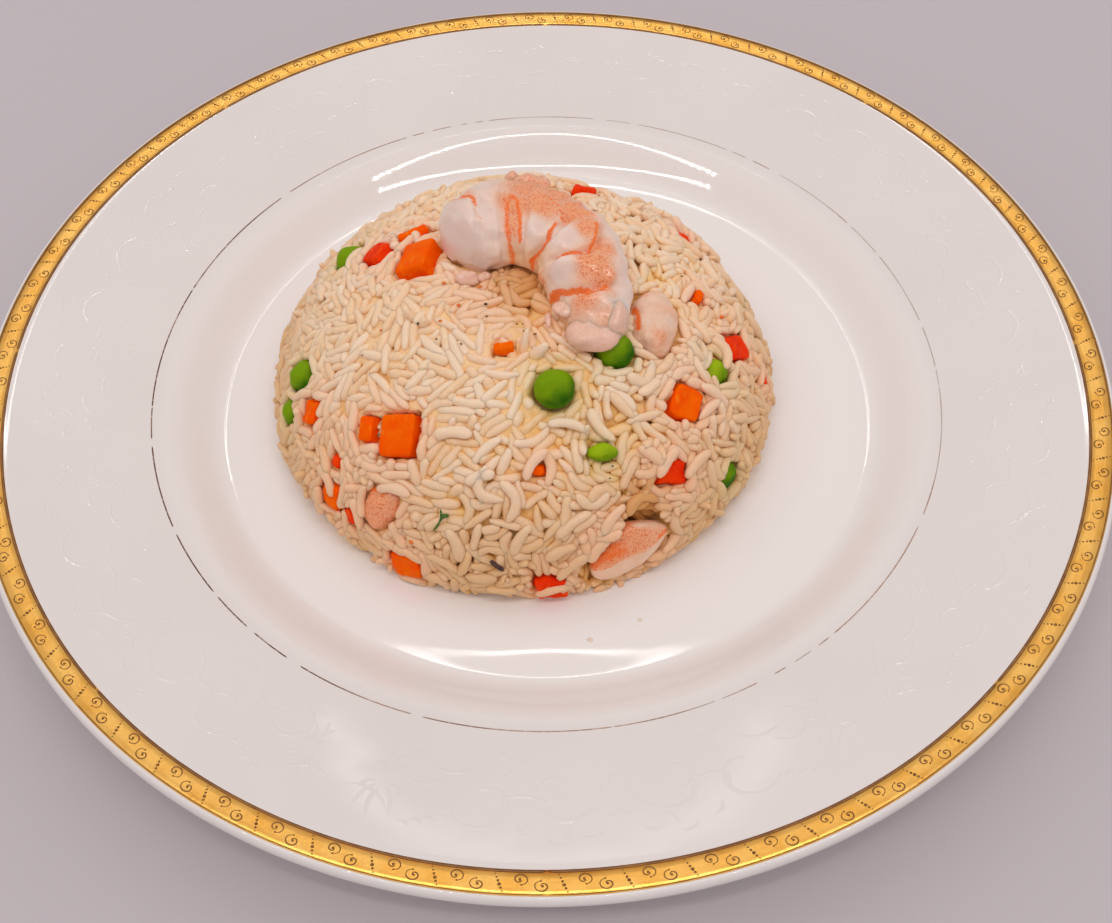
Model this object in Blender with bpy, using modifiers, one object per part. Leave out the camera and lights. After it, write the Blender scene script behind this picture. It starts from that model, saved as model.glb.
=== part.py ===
"""Fried rice plate: a moulded dome of rice with shrimp, peas and diced carrot on a gold-banded dinner plate.

Metres, +Z up. The plate stands on z = 0 with its middle at the origin, and its front is -Y.
Places on the dome are given as a bearing, in degrees round the dome from the front towards +X,
and a rise, in degrees from the foot of the dome (0) to its top (90).
"""

import math
import random

import bmesh
import bpy
from mathutils import Euler, Matrix, Vector, noise

# Plate: turned porcelain, 267 mm across.
PLATE_RADIUS = 0.1335
PLATE_STEPS = 64
FLOOR_RADIUS = 0.0710
FLOOR_HEIGHT = 0.0065
DISH_RADIUS = 0.0800
DISH_HEIGHT = 0.0071
DISH_SLOPE = 0.155
SHOULDER_RADIUS = 0.0930
SHOULDER_HEIGHT = 0.0146
BAND_INNER = (0.1270, 0.0240)
BAND_OUTER = (0.1322, 0.0250)
LIP_DROP = 0.0034
UNDER_SHOULDER = (0.0960, 0.0112)
UNDER_WALL = (0.0850, 0.0068)
FOOT_OUTER = 0.0805
FOOT_INNER = 0.0775
FOOT_ROUND = 0.0006
FOOT_TOP = 0.0036
UNDER_FLOOR = 0.0025
RIM_SLOPE = math.tan(math.radians(14.3))

# Rice: a dome turned out of a bowl, its outline uneven by about a millimetre.
GAP = 0.00035
DOME_CENTRE = Vector((-0.0059, 0.0002, FLOOR_HEIGHT + GAP))
DOME_RADIUS = 0.0620
DOME_HEIGHT = 0.0448
DOME_AROUND = 36
DOME_UP = 13
FOOT_TUCK = 0.035
TUCK_BELOW = 0.14
LUMP_RISE = 1.9
LUMP_HEIGHT = 0.0011
LUMP_SIZE = 0.011
SWAY_HEIGHT = 0.0008
SWAY_SIZE = 0.040
SWAY_SHIFT = Vector((3.1, 0.7, 5.3))

# Shrimp: the body's centre line turns round a middle point as it goes from the cut head end to the tail.
CURL_MIDDLE = (-0.0071, -0.0079)
CURL_RADIUS = 0.0168
CURL_START = 140.0
CURL_END = -38.0
TAIL_FROM = 0.75
TAIL_STRAIGHTENS = 0.0040
BODY_DEPTH = 0.0118
BODY_WIDTH = 0.0072
BODY_SINK = 0.0030
TAIL_LIFT = 0.0012
HEAD_BLUNT = 0.62
HEAD_SHARE = 0.16
TAIL_BLUNT = 0.52
TAIL_SHARE = 0.22
BODY_TAPER = 0.22
SEGMENTS = 5
SEGMENT_STEP = 0.06
CURL_SECTIONS = 15
CURL_AROUND = 12
PIECE_SECTIONS = 7
PIECE_AROUND = 10
PIECE_END = 0.13
PIECE_ROUND = 0.6
PIECE_SAG = 0.5

# How far a window over a sunk piece reaches out of the rice, and the gap round each kind of piece.
WINDOW_REACH = 0.012
CARROT_GAP = 1.2 * GAP
PEA_GAP = 1.35 * GAP
SHRIMP_GAP = 1.3 * GAP
CARROT_EDGE = 0.0005
SKEW = 0.10
SEED = 11

CARROT = (1.00, 0.19, 0.008)
RED_CARROT = (0.84, 0.050, 0.006)
PEA = (0.055, 0.24, 0.006)
PALE_PEA = (0.22, 0.52, 0.020)
SHRIMP = (0.84, 0.60, 0.52)
RICE = (0.80, 0.65, 0.46)
PORCELAIN = (0.80, 0.72, 0.69)

PORCELAIN_ROUGHNESS = 0.12
RICE_ROUGHNESS = 0.35
CARROT_ROUGHNESS = 0.40
PEA_ROUGHNESS = 0.25
SHRIMP_ROUGHNESS = 0.30

# name: bearing, rise, size across, up and deep, turn, tilt, how far it stands out of the rice, colour
CARROTS = {
    "carrot_large": (-104.5, 66.5, (0.0098, 0.0088, 0.0072), 2, 14, 0.0012, CARROT),
    "carrot_upper_left": (-111, 54, (0.0060, 0.0066, 0.0056), -12, 8, 0.0006, RED_CARROT),
    "carrot_wedge": (-123, 61, (0.0072, 0.0022, 0.0030), -44, 0, 0.0006, CARROT),
    "carrot_pair_small": (-45.4, 39.8, (0.0042, 0.0058, 0.0040), 26, 0, -0.0003, CARROT),
    "carrot_pair_large": (-35.6, 43, (0.0084, 0.0094, 0.0070), 28, 0, 0.0003, CARROT),
    "carrot_right": (54, 41, (0.0082, 0.0080, 0.0064), 24, 0, -0.0006, CARROT),
    "carrot_right_high": (82, 33.6, (0.0062, 0.0090, 0.0052), 32, 0, -0.0004, RED_CARROT),
    "carrot_curl": (93, 47, (0.0056, 0.0022, 0.0030), -20, 0, 0.0000, CARROT),
    "carrot_under_grains": (39.5, 29.5, (0.0080, 0.0054, 0.0060), -26, 0, -0.0012, RED_CARROT),
    "carrot_foot_left": (-25, 7.6, (0.0072, 0.0066, 0.0062), 14, 0, -0.0004, CARROT),
    "carrot_low_left": (-47, 16.5, (0.0056, 0.0066, 0.0056), 6, 0, -0.0003, CARROT),
    "carrot_low_left_red": (-40.0, 15.2, (0.0036, 0.0040, 0.0036), 30, 0, -0.0004, RED_CARROT),
    "carrot_edge_left": (-64, 29.4, (0.0048, 0.0056, 0.0048), 32, 0, -0.0004, CARROT),
    "carrot_sliver": (-8, 69.5, (0.0046, 0.0024, 0.0026), 14, 0, 0.0002, CARROT),
    "carrot_chip_front": (5.3, 41.7, (0.0034, 0.0024, 0.0030), 4, 0, -0.0010, CARROT),
    "carrot_foot_front": (6.5, 6.2, (0.0068, 0.0062, 0.0060), 4, 0, -0.0002, RED_CARROT),
    "carrot_chip_left": (-49, 26.5, (0.0026, 0.0030, 0.0028), 0, 0, -0.0008, RED_CARROT),
    "carrot_chip_right": (83, 15.4, (0.0030, 0.0048, 0.0034), 6, 0, -0.0004, RED_CARROT),
    "carrot_behind_shrimp": (157, 50, (0.0058, 0.0044, 0.0040), 8, 0, 0.0004, RED_CARROT),
    "carrot_rear_right": (124, 38.6, (0.0046, 0.0042, 0.0040), -14, 0, -0.0004, RED_CARROT),
    "carrot_back_high": (-147, 19, (0.0080, 0.0074, 0.0060), 16, 0, 0.0002, CARROT),
    "carrot_back_low": (171, 8, (0.0074, 0.0070, 0.0060), -12, 0, -0.0004, CARROT),
    "carrot_back_right": (125, 10, (0.0066, 0.0060, 0.0054), 12, 0, -0.0003, RED_CARROT),
    "carrot_back_left": (-131, 9, (0.0084, 0.0062, 0.0060), -8, 0, -0.0002, CARROT),
    "carrot_side_left": (-118, 7, (0.0060, 0.0062, 0.0056), 10, 0, -0.0004, RED_CARROT),
    "carrot_back_middle": (159, 18, (0.0052, 0.0064, 0.0050), 40, 0, -0.0002, CARROT),
}

# name: bearing, rise, size across, up and deep, turn, how far it stands out, radius of its window, colour
PEAS = {
    "pea_front": (14.3, 59.2, (0.0092, 0.0090, 0.0088), 0, 0.0042, 0.0, PEA),
    "pea_by_tail": (47.0, 61.6, (0.0086, 0.0088, 0.0084), 0, 0.0026, 0.0, PEA),
    "pea_half": (23.7, 42.6, (0.0072, 0.0042, 0.0038), -18, 0.0012, 0.0, PALE_PEA),
    "pea_left": (-76, 30.5, (0.0080, 0.0084, 0.0080), 0, 0.0012, 0.0, PEA),
    "pea_left_low": (-72.0, 20.0, (0.0074, 0.0076, 0.0072), 0, 0.0002, 0.0025, PEA),
    "pea_upper_left": (-114, 41.5, (0.0086, 0.0082, 0.0080), 0, 0.0012, 0.0, PEA),
    "pea_right_low": (54.4, 14.3, (0.0080, 0.0080, 0.0076), 0, -0.0002, 0.0018, PEA),
    "pea_right": (70.5, 37.6, (0.0076, 0.0076, 0.0072), 0, -0.0002, 0.0020, PALE_PEA),
    "pea_back_middle": (-176, 20, (0.0086, 0.0090, 0.0084), 0, 0.0022, 0.0, PEA),
    "pea_back_right": (141, 16, (0.0088, 0.0086, 0.0084), 0, 0.0018, 0.0, PEA),
    "pea_back_left": (-143, 8, (0.0084, 0.0080, 0.0082), 0, 0.0012, 0.0, PALE_PEA),
}

# name: bearing, rise, length, depth, width, turn of the length, bend, taper of one end, how far it stands out
SHRIMP_PIECES = {
    "shrimp_right": (70.5, 58.0, 0.0155, 0.0062, 0.0050, 12, 30, 0.0, 0.0026),
    "shrimp_front": (23.2, 13.0, 0.0225, 0.0070, 0.0044, 30, -14, 0.35, 0.0020),
    "shrimp_left": (-33.4, 23.0, 0.0108, 0.0045, 0.0036, 78, 20, 0.0, 0.0004),
    "shrimp_back": (-163, 13, 0.0170, 0.0054, 0.0046, -14, 30, 0.1, 0.0018),
}


def collection(name):
    """A new collection under the scene's own."""
    made = bpy.data.collections.new(name)
    bpy.context.scene.collection.children.link(made)
    return made


def material(name, colour, roughness):
    """A plain Principled material of one colour."""
    made = bpy.data.materials.get(name) or bpy.data.materials.new(name)
    made.use_nodes = True
    shader = made.node_tree.nodes["Principled BSDF"]
    shader.inputs["Base Color"].default_value = (*colour, 1.0)
    shader.inputs["Roughness"].default_value = roughness
    shader.inputs["Metallic"].default_value = 0.0
    return made


def add_object(name, shape, target, finish=None):
    """Turns a bmesh into an object of the target collection."""
    bmesh.ops.recalc_face_normals(shape, faces=shape.faces[:])
    mesh = bpy.data.meshes.new(name)
    shape.to_mesh(mesh)
    shape.free()
    if finish:
        mesh.materials.append(finish)
    made = bpy.data.objects.new(name, mesh)
    target.objects.link(made)
    return made


def add_cutter(name, shape, target):
    """A solid that only cuts: it isn't part of the object."""
    made = add_object(name, shape, target)
    made.hide_render = True
    made.display_type = "WIRE"
    return made


def curve_between(start, end, slope_start, slope_end, steps):
    """Points (radius, height) of a smooth curve with the given end slopes, without its first point."""
    run = end[0] - start[0]
    points = []
    for step in range(1, steps + 1):
        t = step / steps
        height = (
            (2 * t**3 - 3 * t**2 + 1) * start[1]
            + (t**3 - 2 * t**2 + t) * run * slope_start
            + (3 * t**2 - 2 * t**3) * end[1]
            + (t**3 - t**2) * run * slope_end
        )
        points.append((start[0] + t * run, height))
    return points


def plate_profile():
    """The plate's section from the middle of its floor, out over the rim and back under to the middle."""
    points = [(0.0, FLOOR_HEIGHT), (FLOOR_RADIUS, FLOOR_HEIGHT)]
    shoulder = (SHOULDER_RADIUS, SHOULDER_HEIGHT)
    points.append((DISH_RADIUS, DISH_HEIGHT))
    points += curve_between(points[-1], shoulder, DISH_SLOPE, RIM_SLOPE, 5)
    points += [BAND_INNER, BAND_OUTER]
    lip_out = PLATE_RADIUS - BAND_OUTER[0]
    for angle in (50, 0, -50):
        turn = math.radians(angle)
        points.append((
            BAND_OUTER[0] + lip_out * math.cos(turn),
            BAND_OUTER[1] - LIP_DROP / 2 * (1 - math.sin(turn)),
        ))
    points += [UNDER_SHOULDER, UNDER_WALL, (FOOT_OUTER + FOOT_ROUND, FOOT_TOP)]
    points += [(FOOT_OUTER + FOOT_ROUND, FOOT_ROUND), (FOOT_OUTER, 0.0)]
    points += [(FOOT_INNER, 0.0), (FOOT_INNER - FOOT_ROUND, FOOT_ROUND)]
    points += [(FOOT_INNER - 2 * FOOT_ROUND, UNDER_FLOOR), (0.0, UNDER_FLOOR)]
    return points


def make_plate(parts):
    """The plate, its section turned round the Z axis."""
    shape = bmesh.new()
    corners = [shape.verts.new((radius, 0.0, height)) for radius, height in plate_profile()]
    for first, second in zip(corners, corners[1:]):
        shape.edges.new((first, second))
    mesh = bpy.data.meshes.new("plate")
    shape.to_mesh(mesh)
    shape.free()
    mesh.materials.append(material("porcelain", PORCELAIN, PORCELAIN_ROUGHNESS))
    plate = bpy.data.objects.new("plate", mesh)
    parts.objects.link(plate)
    turned = plate.modifiers.new("turned", "SCREW")
    turned.axis = "Z"
    turned.angle = math.tau
    turned.steps = PLATE_STEPS
    turned.render_steps = PLATE_STEPS
    turned.use_merge_vertices = True
    turned.merge_threshold = 0.00001
    turned.use_smooth_shade = True
    return plate


def dome_point(bearing, rise):
    """A point on the dome's even surface."""
    side = math.radians(bearing)
    up = math.radians(rise)
    reach = DOME_RADIUS * math.cos(up)
    return DOME_CENTRE + Vector((reach * math.sin(side), -reach * math.cos(side), DOME_HEIGHT * math.sin(up)))


def dome_place(bearing, rise, stand_out=0.0):
    """A frame on the dome: X to the right, Y up the slope and Z out of the rice."""
    place = dome_point(bearing, rise)
    away = place - DOME_CENTRE
    out = Vector((away.x / DOME_RADIUS**2, away.y / DOME_RADIUS**2, away.z / DOME_HEIGHT**2)).normalized()
    right = Vector((math.cos(math.radians(bearing)), math.sin(math.radians(bearing)), 0.0))
    up = out.cross(right).normalized()
    frame = Matrix((right, up, out)).transposed().to_4x4()
    frame.translation = place + stand_out * out
    return frame


def lumps(place):
    """How far the rice stands out at a place: small lumps on a slow sway."""
    small = noise.noise(place / LUMP_SIZE)
    slow = noise.noise(place / SWAY_SIZE + SWAY_SHIFT)
    return LUMP_HEIGHT * small + SWAY_HEIGHT * slow


def make_rice(parts):
    """The rice out to its uneven outline: a dome with a flat foot, tucked in where it meets the plate."""
    shape = bmesh.new()
    bmesh.ops.create_uvsphere(shape, u_segments=DOME_AROUND, v_segments=2 * DOME_UP, radius=1.0)
    cut = bmesh.ops.bisect_plane(
        shape, geom=shape.verts[:] + shape.edges[:] + shape.faces[:], dist=1e-5,
        plane_co=(0, 0, 0), plane_no=(0, 0, 1), clear_inner=True)
    rim = [part for part in cut["geom_cut"] if isinstance(part, bmesh.types.BMEdge)]
    bmesh.ops.holes_fill(shape, edges=rim, sides=0)
    for vert in shape.verts:
        way = vert.co.copy()
        height = max(way.z, 0.0)
        tuck = 1.0 - FOOT_TUCK * max(0.0, 1.0 - height / TUCK_BELOW) ** 2
        even = Vector((way.x * DOME_RADIUS * tuck, way.y * DOME_RADIUS * tuck, height * DOME_HEIGHT))
        out = Vector((even.x, even.y, LUMP_RISE * even.z)).normalized() if even.length else Vector((0, 0, 1))
        shift = lumps(even)
        vert.co = DOME_CENTRE + even + shift * out
        if height < 1e-4:
            vert.co.z = DOME_CENTRE.z
    return add_object("rice", shape, parts, material("rice", RICE, RICE_ROUGHNESS))


def box_shape(size, skew, grow=0.0, reach=0.0):
    """A skewed box whose outer face lies at z = 0. grow widens it on every side, reach lengthens it outwards.

    skew holds the shear of X along Y, of X along Z and of Y along Z, and how much it widens over its depth.
    """
    shape = bmesh.new()
    bmesh.ops.create_cube(shape, size=1.0)
    for vert in shape.verts:
        side = [math.copysign(1, value) for value in vert.co]
        x, y = (side[axis] * (size[axis] / 2 + grow) for axis in (0, 1))
        z = grow + reach if side[2] > 0 else -size[2] - grow
        widening = 1.0 + skew[3] * (z / size[2] + 0.5)
        vert.co = ((x + skew[0] * y) * widening + skew[1] * z, y * widening + skew[2] * z, z)
    return shape


def make_carrots(parts, cutters):
    """Diced carrot: skewed cubes and slivers with lightly rounded edges, each in a pocket of the rice."""
    draw = random.Random(SEED)
    for name, (bearing, rise, size, turn, tilt, stand_out, colour) in CARROTS.items():
        skew = [draw.uniform(-SKEW, SKEW) for _ in range(4)]
        place = dome_place(bearing, rise, stand_out)
        place = place @ Euler((math.radians(tilt), 0.0, math.radians(turn))).to_matrix().to_4x4()
        finish = material("carrot" if colour == CARROT else "red_carrot", colour, CARROT_ROUGHNESS)
        dice = add_object(name, box_shape(size, skew), parts, finish)
        dice.matrix_world = place
        rounded = dice.modifiers.new("rounded edges", "BEVEL")
        rounded.width = CARROT_EDGE
        rounded.segments = 1
        cutter = add_cutter(name + "_pocket", box_shape(size, skew, CARROT_GAP, WINDOW_REACH), cutters)
        cutter.matrix_world = place


def ball_shape(size, grow=0.0):
    """An even ball stretched to the given sizes, its top at z = 0."""
    shape = bmesh.new()
    bmesh.ops.create_uvsphere(shape, u_segments=10, v_segments=7, radius=1.0)
    for vert in shape.verts:
        vert.co = Vector([vert.co[axis] * (size[axis] / 2 + grow) for axis in range(3)])
        vert.co.z -= size[2] / 2
    return shape


def window_shape(radius, depth):
    """A short round rod along Z, from below the surface to above it."""
    shape = bmesh.new()
    bmesh.ops.create_cone(
        shape, cap_ends=True, segments=6, radius1=radius, radius2=radius, depth=depth + WINDOW_REACH)
    bmesh.ops.translate(shape, verts=shape.verts[:], vec=(0, 0, (WINDOW_REACH - depth) / 2))
    return shape


def make_peas(parts, cutters):
    """Peas: each a slightly uneven ball in a pocket of the rice, some almost covered."""
    for name, (bearing, rise, size, turn, stand_out, window, colour) in PEAS.items():
        place = dome_place(bearing, rise, stand_out) @ Matrix.Rotation(math.radians(turn), 4, "Z")
        finish = material("pea" if colour == PEA else "pale_pea", colour, PEA_ROUGHNESS)
        pea = add_object(name, ball_shape(size), parts, finish)
        pea.data.shade_smooth()
        pea.matrix_world = place
        cutter = add_cutter(name + "_pocket", ball_shape(size, PEA_GAP), cutters)
        cutter.matrix_world = place
        if window:
            opening = add_cutter(name + "_window", window_shape(window, size[2] / 4), cutters)
            opening.matrix_world = place


def loft(stations, around):
    """A closed body through cross sections: each station is a middle, two half axes and their lengths."""
    shape = bmesh.new()
    rings = []
    for middle, depth_axis, width_axis, depth, width in stations:
        ring = []
        for step in range(around):
            turn = math.tau * step / around
            ring.append(shape.verts.new(
                middle + depth_axis * depth * math.cos(turn) + width_axis * width * math.sin(turn)))
        rings.append(ring)
    for first, second in zip(rings, rings[1:]):
        for step in range(around):
            after = (step + 1) % around
            shape.faces.new((first[step], first[after], second[after], second[step]))
    shape.faces.new(reversed(rings[0]))
    shape.faces.new(rings[-1])
    return shape


def body_swell(t):
    """Thickness along the shrimp's body, from 0 to 1: blunt rounded ends and a small step at each segment."""
    rise = HEAD_BLUNT + (1 - HEAD_BLUNT) * math.sin(min(1.0, t / HEAD_SHARE) * math.pi / 2)
    fall = TAIL_BLUNT + (1 - TAIL_BLUNT) * math.sin(min(1.0, (1 - t) / TAIL_SHARE) * math.pi / 2)
    taper = 1.0 - BODY_TAPER * t
    segment = (t * SEGMENTS) % 1.0
    return rise * fall * taper * (1.0 + SEGMENT_STEP * (0.5 - segment))


def curled_stations(grow=0.0):
    """Sections of the whole shrimp that lies curled on its side on top of the dome."""
    stations = []
    last = CURL_SECTIONS - 1
    for step in range(CURL_SECTIONS):
        t = step / last
        angle = math.radians(CURL_START + (CURL_END - CURL_START) * t)
        radius = CURL_RADIUS + TAIL_STRAIGHTENS * max(0.0, (t - TAIL_FROM) / (1 - TAIL_FROM)) ** 1.5
        outward = Vector((math.cos(angle), math.sin(angle), 0.0))
        swell = body_swell(t)
        depth = BODY_DEPTH * swell
        width = BODY_WIDTH * swell
        flat = Vector((CURL_MIDDLE[0], CURL_MIDDLE[1], 0.0)) + radius * outward
        side = (flat - DOME_CENTRE).to_2d().length / DOME_RADIUS
        rest = DOME_CENTRE.z + DOME_HEIGHT * math.sqrt(1 - side**2)
        middle = Vector((flat.x, flat.y, rest - BODY_SINK + width + TAIL_LIFT * t**4))
        along = Vector((outward.y, -outward.x, 0.0))
        middle += along * grow * (1 if step == last else -1 if step == 0 else 0)
        stations.append((middle, outward, Vector((0, 0, 1)), depth + grow, width + grow))
    return stations


def piece_stations(size, bend, taper, grow=0.0):
    """Sections of a cut piece of shrimp along X, its top at z = 0, bent and thicker towards +X."""
    length, depth, width = size
    stations = []
    curve = math.radians(bend)
    for step in range(PIECE_SECTIONS):
        t = step / (PIECE_SECTIONS - 1)
        swell = math.sin(math.pi * (PIECE_END + (1 - 2 * PIECE_END) * t)) ** PIECE_ROUND
        swell *= 1.0 + taper * (t - 0.5)
        turn = curve * (t - 0.5)
        along = (length + 2 * grow) * (t - 0.5)
        middle = Vector((along * math.cos(turn), PIECE_SAG * along * math.sin(turn), -width))
        across = Vector((-math.sin(turn), math.cos(turn), 0.0))
        stations.append((middle, across, Vector((0, 0, 1)), depth * swell + grow, width * swell + grow))
    return stations


def make_shrimp(parts, cutters):
    """The curled shrimp on top and the cut pieces in the rice."""
    finish = material("shrimp", SHRIMP, SHRIMP_ROUGHNESS)
    add_object("shrimp_top", loft(curled_stations(), CURL_AROUND), parts, finish).data.shade_smooth()
    add_cutter("shrimp_top_pocket", loft(curled_stations(SHRIMP_GAP), CURL_AROUND), cutters)
    for name, (bearing, rise, length, depth, width, turn, bend, taper, stand_out) in SHRIMP_PIECES.items():
        place = dome_place(bearing, rise, stand_out) @ Matrix.Rotation(math.radians(turn), 4, "Z")
        size = (length, depth, width)
        piece = add_object(name, loft(piece_stations(size, bend, taper), PIECE_AROUND), parts, finish)
        piece.data.shade_smooth()
        piece.matrix_world = place
        grown = loft(piece_stations(size, bend, taper, SHRIMP_GAP), PIECE_AROUND)
        add_cutter(name + "_pocket", grown, cutters).matrix_world = place


def main():
    """Builds the plate, the rice and all that is in it, then cuts the pockets."""
    for old in list(bpy.data.objects):
        bpy.data.objects.remove(old, do_unlink=True)
    parts = collection("fried_rice_plate")
    cutters = collection("cutters")
    make_plate(parts)
    rice = make_rice(parts)
    make_shrimp(parts, cutters)
    make_peas(parts, cutters)
    make_carrots(parts, cutters)
    pockets = rice.modifiers.new("pockets", "BOOLEAN")
    pockets.operation = "DIFFERENCE"
    pockets.solver = "EXACT"
    pockets.operand_type = "COLLECTION"
    pockets.collection = cutters
    over_pea = parts.objects["shrimp_top"].modifiers.new("hollow over the pea", "BOOLEAN")
    over_pea.operation = "DIFFERENCE"
    over_pea.solver = "EXACT"
    over_pea.object = cutters.objects["pea_by_tail_pocket"]


main()
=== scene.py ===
"""Looks of the fried rice plate: a moulded dome of rice with shrimp, peas and carrot on a gold-banded plate.

Metres, +Z up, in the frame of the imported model. Places on the dome are given as a bearing, in degrees round
the dome from the front towards +X, and a rise, in degrees from the foot of the dome (0) to its top (90).
"""

import math
import random

import bmesh
import bpy
import numpy as np
from mathutils import Matrix, Vector, kdtree, noise
from mathutils.bvhtree import BVHTree


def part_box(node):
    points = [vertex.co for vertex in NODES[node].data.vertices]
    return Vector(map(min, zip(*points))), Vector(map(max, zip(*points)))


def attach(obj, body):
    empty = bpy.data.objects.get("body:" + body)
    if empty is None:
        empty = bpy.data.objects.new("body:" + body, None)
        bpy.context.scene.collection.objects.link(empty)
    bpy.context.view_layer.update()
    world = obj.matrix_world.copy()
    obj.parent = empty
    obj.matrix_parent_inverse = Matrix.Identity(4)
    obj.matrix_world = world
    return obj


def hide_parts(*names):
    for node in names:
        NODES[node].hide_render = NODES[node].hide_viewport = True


# noise.noise_vector takes its offsets from this seed. Without one they come from the clock.
SEED = 17
noise.seed_set(SEED)

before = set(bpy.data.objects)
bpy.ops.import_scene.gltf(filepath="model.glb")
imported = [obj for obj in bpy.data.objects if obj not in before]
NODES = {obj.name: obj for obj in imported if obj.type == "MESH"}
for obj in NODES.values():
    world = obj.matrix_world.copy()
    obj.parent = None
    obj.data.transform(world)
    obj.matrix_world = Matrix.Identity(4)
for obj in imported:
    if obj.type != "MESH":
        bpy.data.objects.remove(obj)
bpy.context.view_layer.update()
MM = 0.001

# ---------------------------------------------------------------- shader wiring

MIX_FIRST = 6
MIX_SECOND = 7
MIX_COLOUR = 2


class Wire:
    """A socket of a material's nodes. Arithmetic on it adds Math nodes, and node() adds any other node."""

    def __init__(self, tree, socket=None):
        self.tree = tree
        self.socket = socket

    def node(self, kind, settings=None, inputs=None, output=0):
        """Adds a node: its settings come first, then the values or wires of its sockets."""
        made = self.tree.nodes.new("ShaderNode" + kind)
        for name, value in (settings or {}).items():
            if name == "stops":
                self.set_stops(made.color_ramp.elements, value)
            else:
                setattr(made, name, value)
        for name, value in (inputs or {}).items():
            if isinstance(value, Wire):
                self.tree.links.new(value.socket, made.inputs[name])
            else:
                made.inputs[name].default_value = value
        return Wire(self.tree, made.outputs[output])

    @staticmethod
    def set_stops(elements, stops):
        """Gives a colour ramp its stops, each a place and a colour."""
        while len(elements) < len(stops):
            elements.new(1.0)
        for element, (place, colour) in zip(elements, stops):
            element.position = place
            element.color = (*colour, 1.0)

    def maths(self, operation, *values):
        """A Math node on some values or wires."""
        return self.node("Math", {"operation": operation}, dict(enumerate(values)))

    def __add__(self, other):
        return self.maths("ADD", self, other)

    def __sub__(self, other):
        return self.maths("SUBTRACT", self, other)

    def __rsub__(self, other):
        return self.maths("SUBTRACT", other, self)

    def __mul__(self, other):
        return self.maths("MULTIPLY", self, other)

    __radd__ = __add__
    __rmul__ = __mul__

    def between(self, low, high):
        """0 below low, 1 above high and smooth between."""
        inputs = {"Value": self, "From Min": low, "From Max": high}
        return self.node("MapRange", {"interpolation_type": "SMOOTHSTEP", "clamp": True}, inputs)

    def blend(self, factor, first, second, how="MIX"):
        """Two colours mixed by a factor."""
        inputs = {0: factor, MIX_FIRST: first, MIX_SECOND: second}
        return self.node("Mix", {"data_type": "RGBA", "blend_type": how}, inputs, MIX_COLOUR)

    def value(self, name):
        """A value stored with the corners of the piece."""
        return self.node("Attribute", {"attribute_name": name}, output="Fac")

    def grain(self, size, detail=2.0, stretch=None):
        """Soft noise with features of the given size in metres, 0 to 1."""
        place = self.node("TexCoord", output="Object")
        if stretch:
            place = self.node("Mapping", inputs={"Vector": place, "Scale": stretch})
        inputs = {"Vector": place, "Scale": 1.0 / size, "Detail": detail}
        return self.node("TexNoise", inputs=inputs)

    def bump(self, height, depth):
        """A normal from a height of 0 to 1 that stands for the given depth in metres."""
        return self.node("Bump", inputs={"Height": height, "Distance": depth})


def colour(red, green, blue):
    """A colour with its fourth value."""
    return (red, green, blue, 1.0)


def new_finish(name, constants):
    """A material whose Principled shader has the given constants, and the wire that its nodes start from."""
    made = bpy.data.materials.new(name)
    made.use_nodes = True
    shader = made.node_tree.nodes["Principled BSDF"]
    for socket, value in constants.items():
        shader.inputs[socket].default_value = value
    return made, Wire(made.node_tree)


def feed(made, wires):
    """Links wires to the sockets of a material's Principled shader."""
    shader = made.node_tree.nodes["Principled BSDF"]
    for socket, wire in wires.items():
        made.node_tree.links.new(wire.socket, shader.inputs[socket])


# ---------------------------------------------------------------- shapes and pieces

def tube_faces(rows, columns):
    """Faces of a closed tube: corner 0 is its first pole, then the rows of corners, then the last pole."""
    faces = [(0, 1 + (column + 1) % columns, 1 + column) for column in range(columns)]
    for row in range(rows - 1):
        base = 1 + row * columns
        for column in range(columns):
            after = (column + 1) % columns
            faces.append((base + column, base + after, base + columns + after, base + columns + column))
    last = 1 + rows * columns
    base = last - columns
    faces += [(base + column, base + (column + 1) % columns, last) for column in range(columns)]
    return faces


class Shape:
    """Corners, faces and values per corner, gathered for one piece."""

    def __init__(self):
        self.corners = []
        self.faces = []
        self.values = {}
        self.count = 0

    def add(self, corners, faces, **values):
        """Adds a body; each value is one number or one for every corner."""
        corners = np.asarray(corners, float).reshape(-1, 3)
        self.corners.append(corners)
        self.faces += [tuple(corner + self.count for corner in face) for face in faces]
        for name, value in values.items():
            spread = np.broadcast_to(np.asarray(value, float), (len(corners),))
            self.values.setdefault(name, []).append(spread)
        self.count += len(corners)

    def piece(self, name, finish, stands_for=()):
        """Makes the piece."""
        values = {title: np.concatenate(parts) for title, parts in self.values.items()}
        return add_piece(name, np.concatenate(self.corners), self.faces, finish, values, stands_for)


def add_piece(name, corners, faces, finish, values=None, stands_for=()):
    """A smooth mesh piece that rides on the root body."""
    mesh = bpy.data.meshes.new(name)
    mesh.from_pydata(np.asarray(corners).tolist(), [], faces)
    mesh.shade_smooth()
    mesh.materials.append(finish)
    for title, value in (values or {}).items():
        layer = mesh.attributes.new(title, "FLOAT", "POINT")
        layer.data.foreach_set("value", np.ascontiguousarray(value, np.float32))
    made = bpy.data.objects.new(name, mesh)
    bpy.context.scene.collection.objects.link(made)
    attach(made, "root")
    if stands_for:
        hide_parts(*stands_for)
    return made


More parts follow.
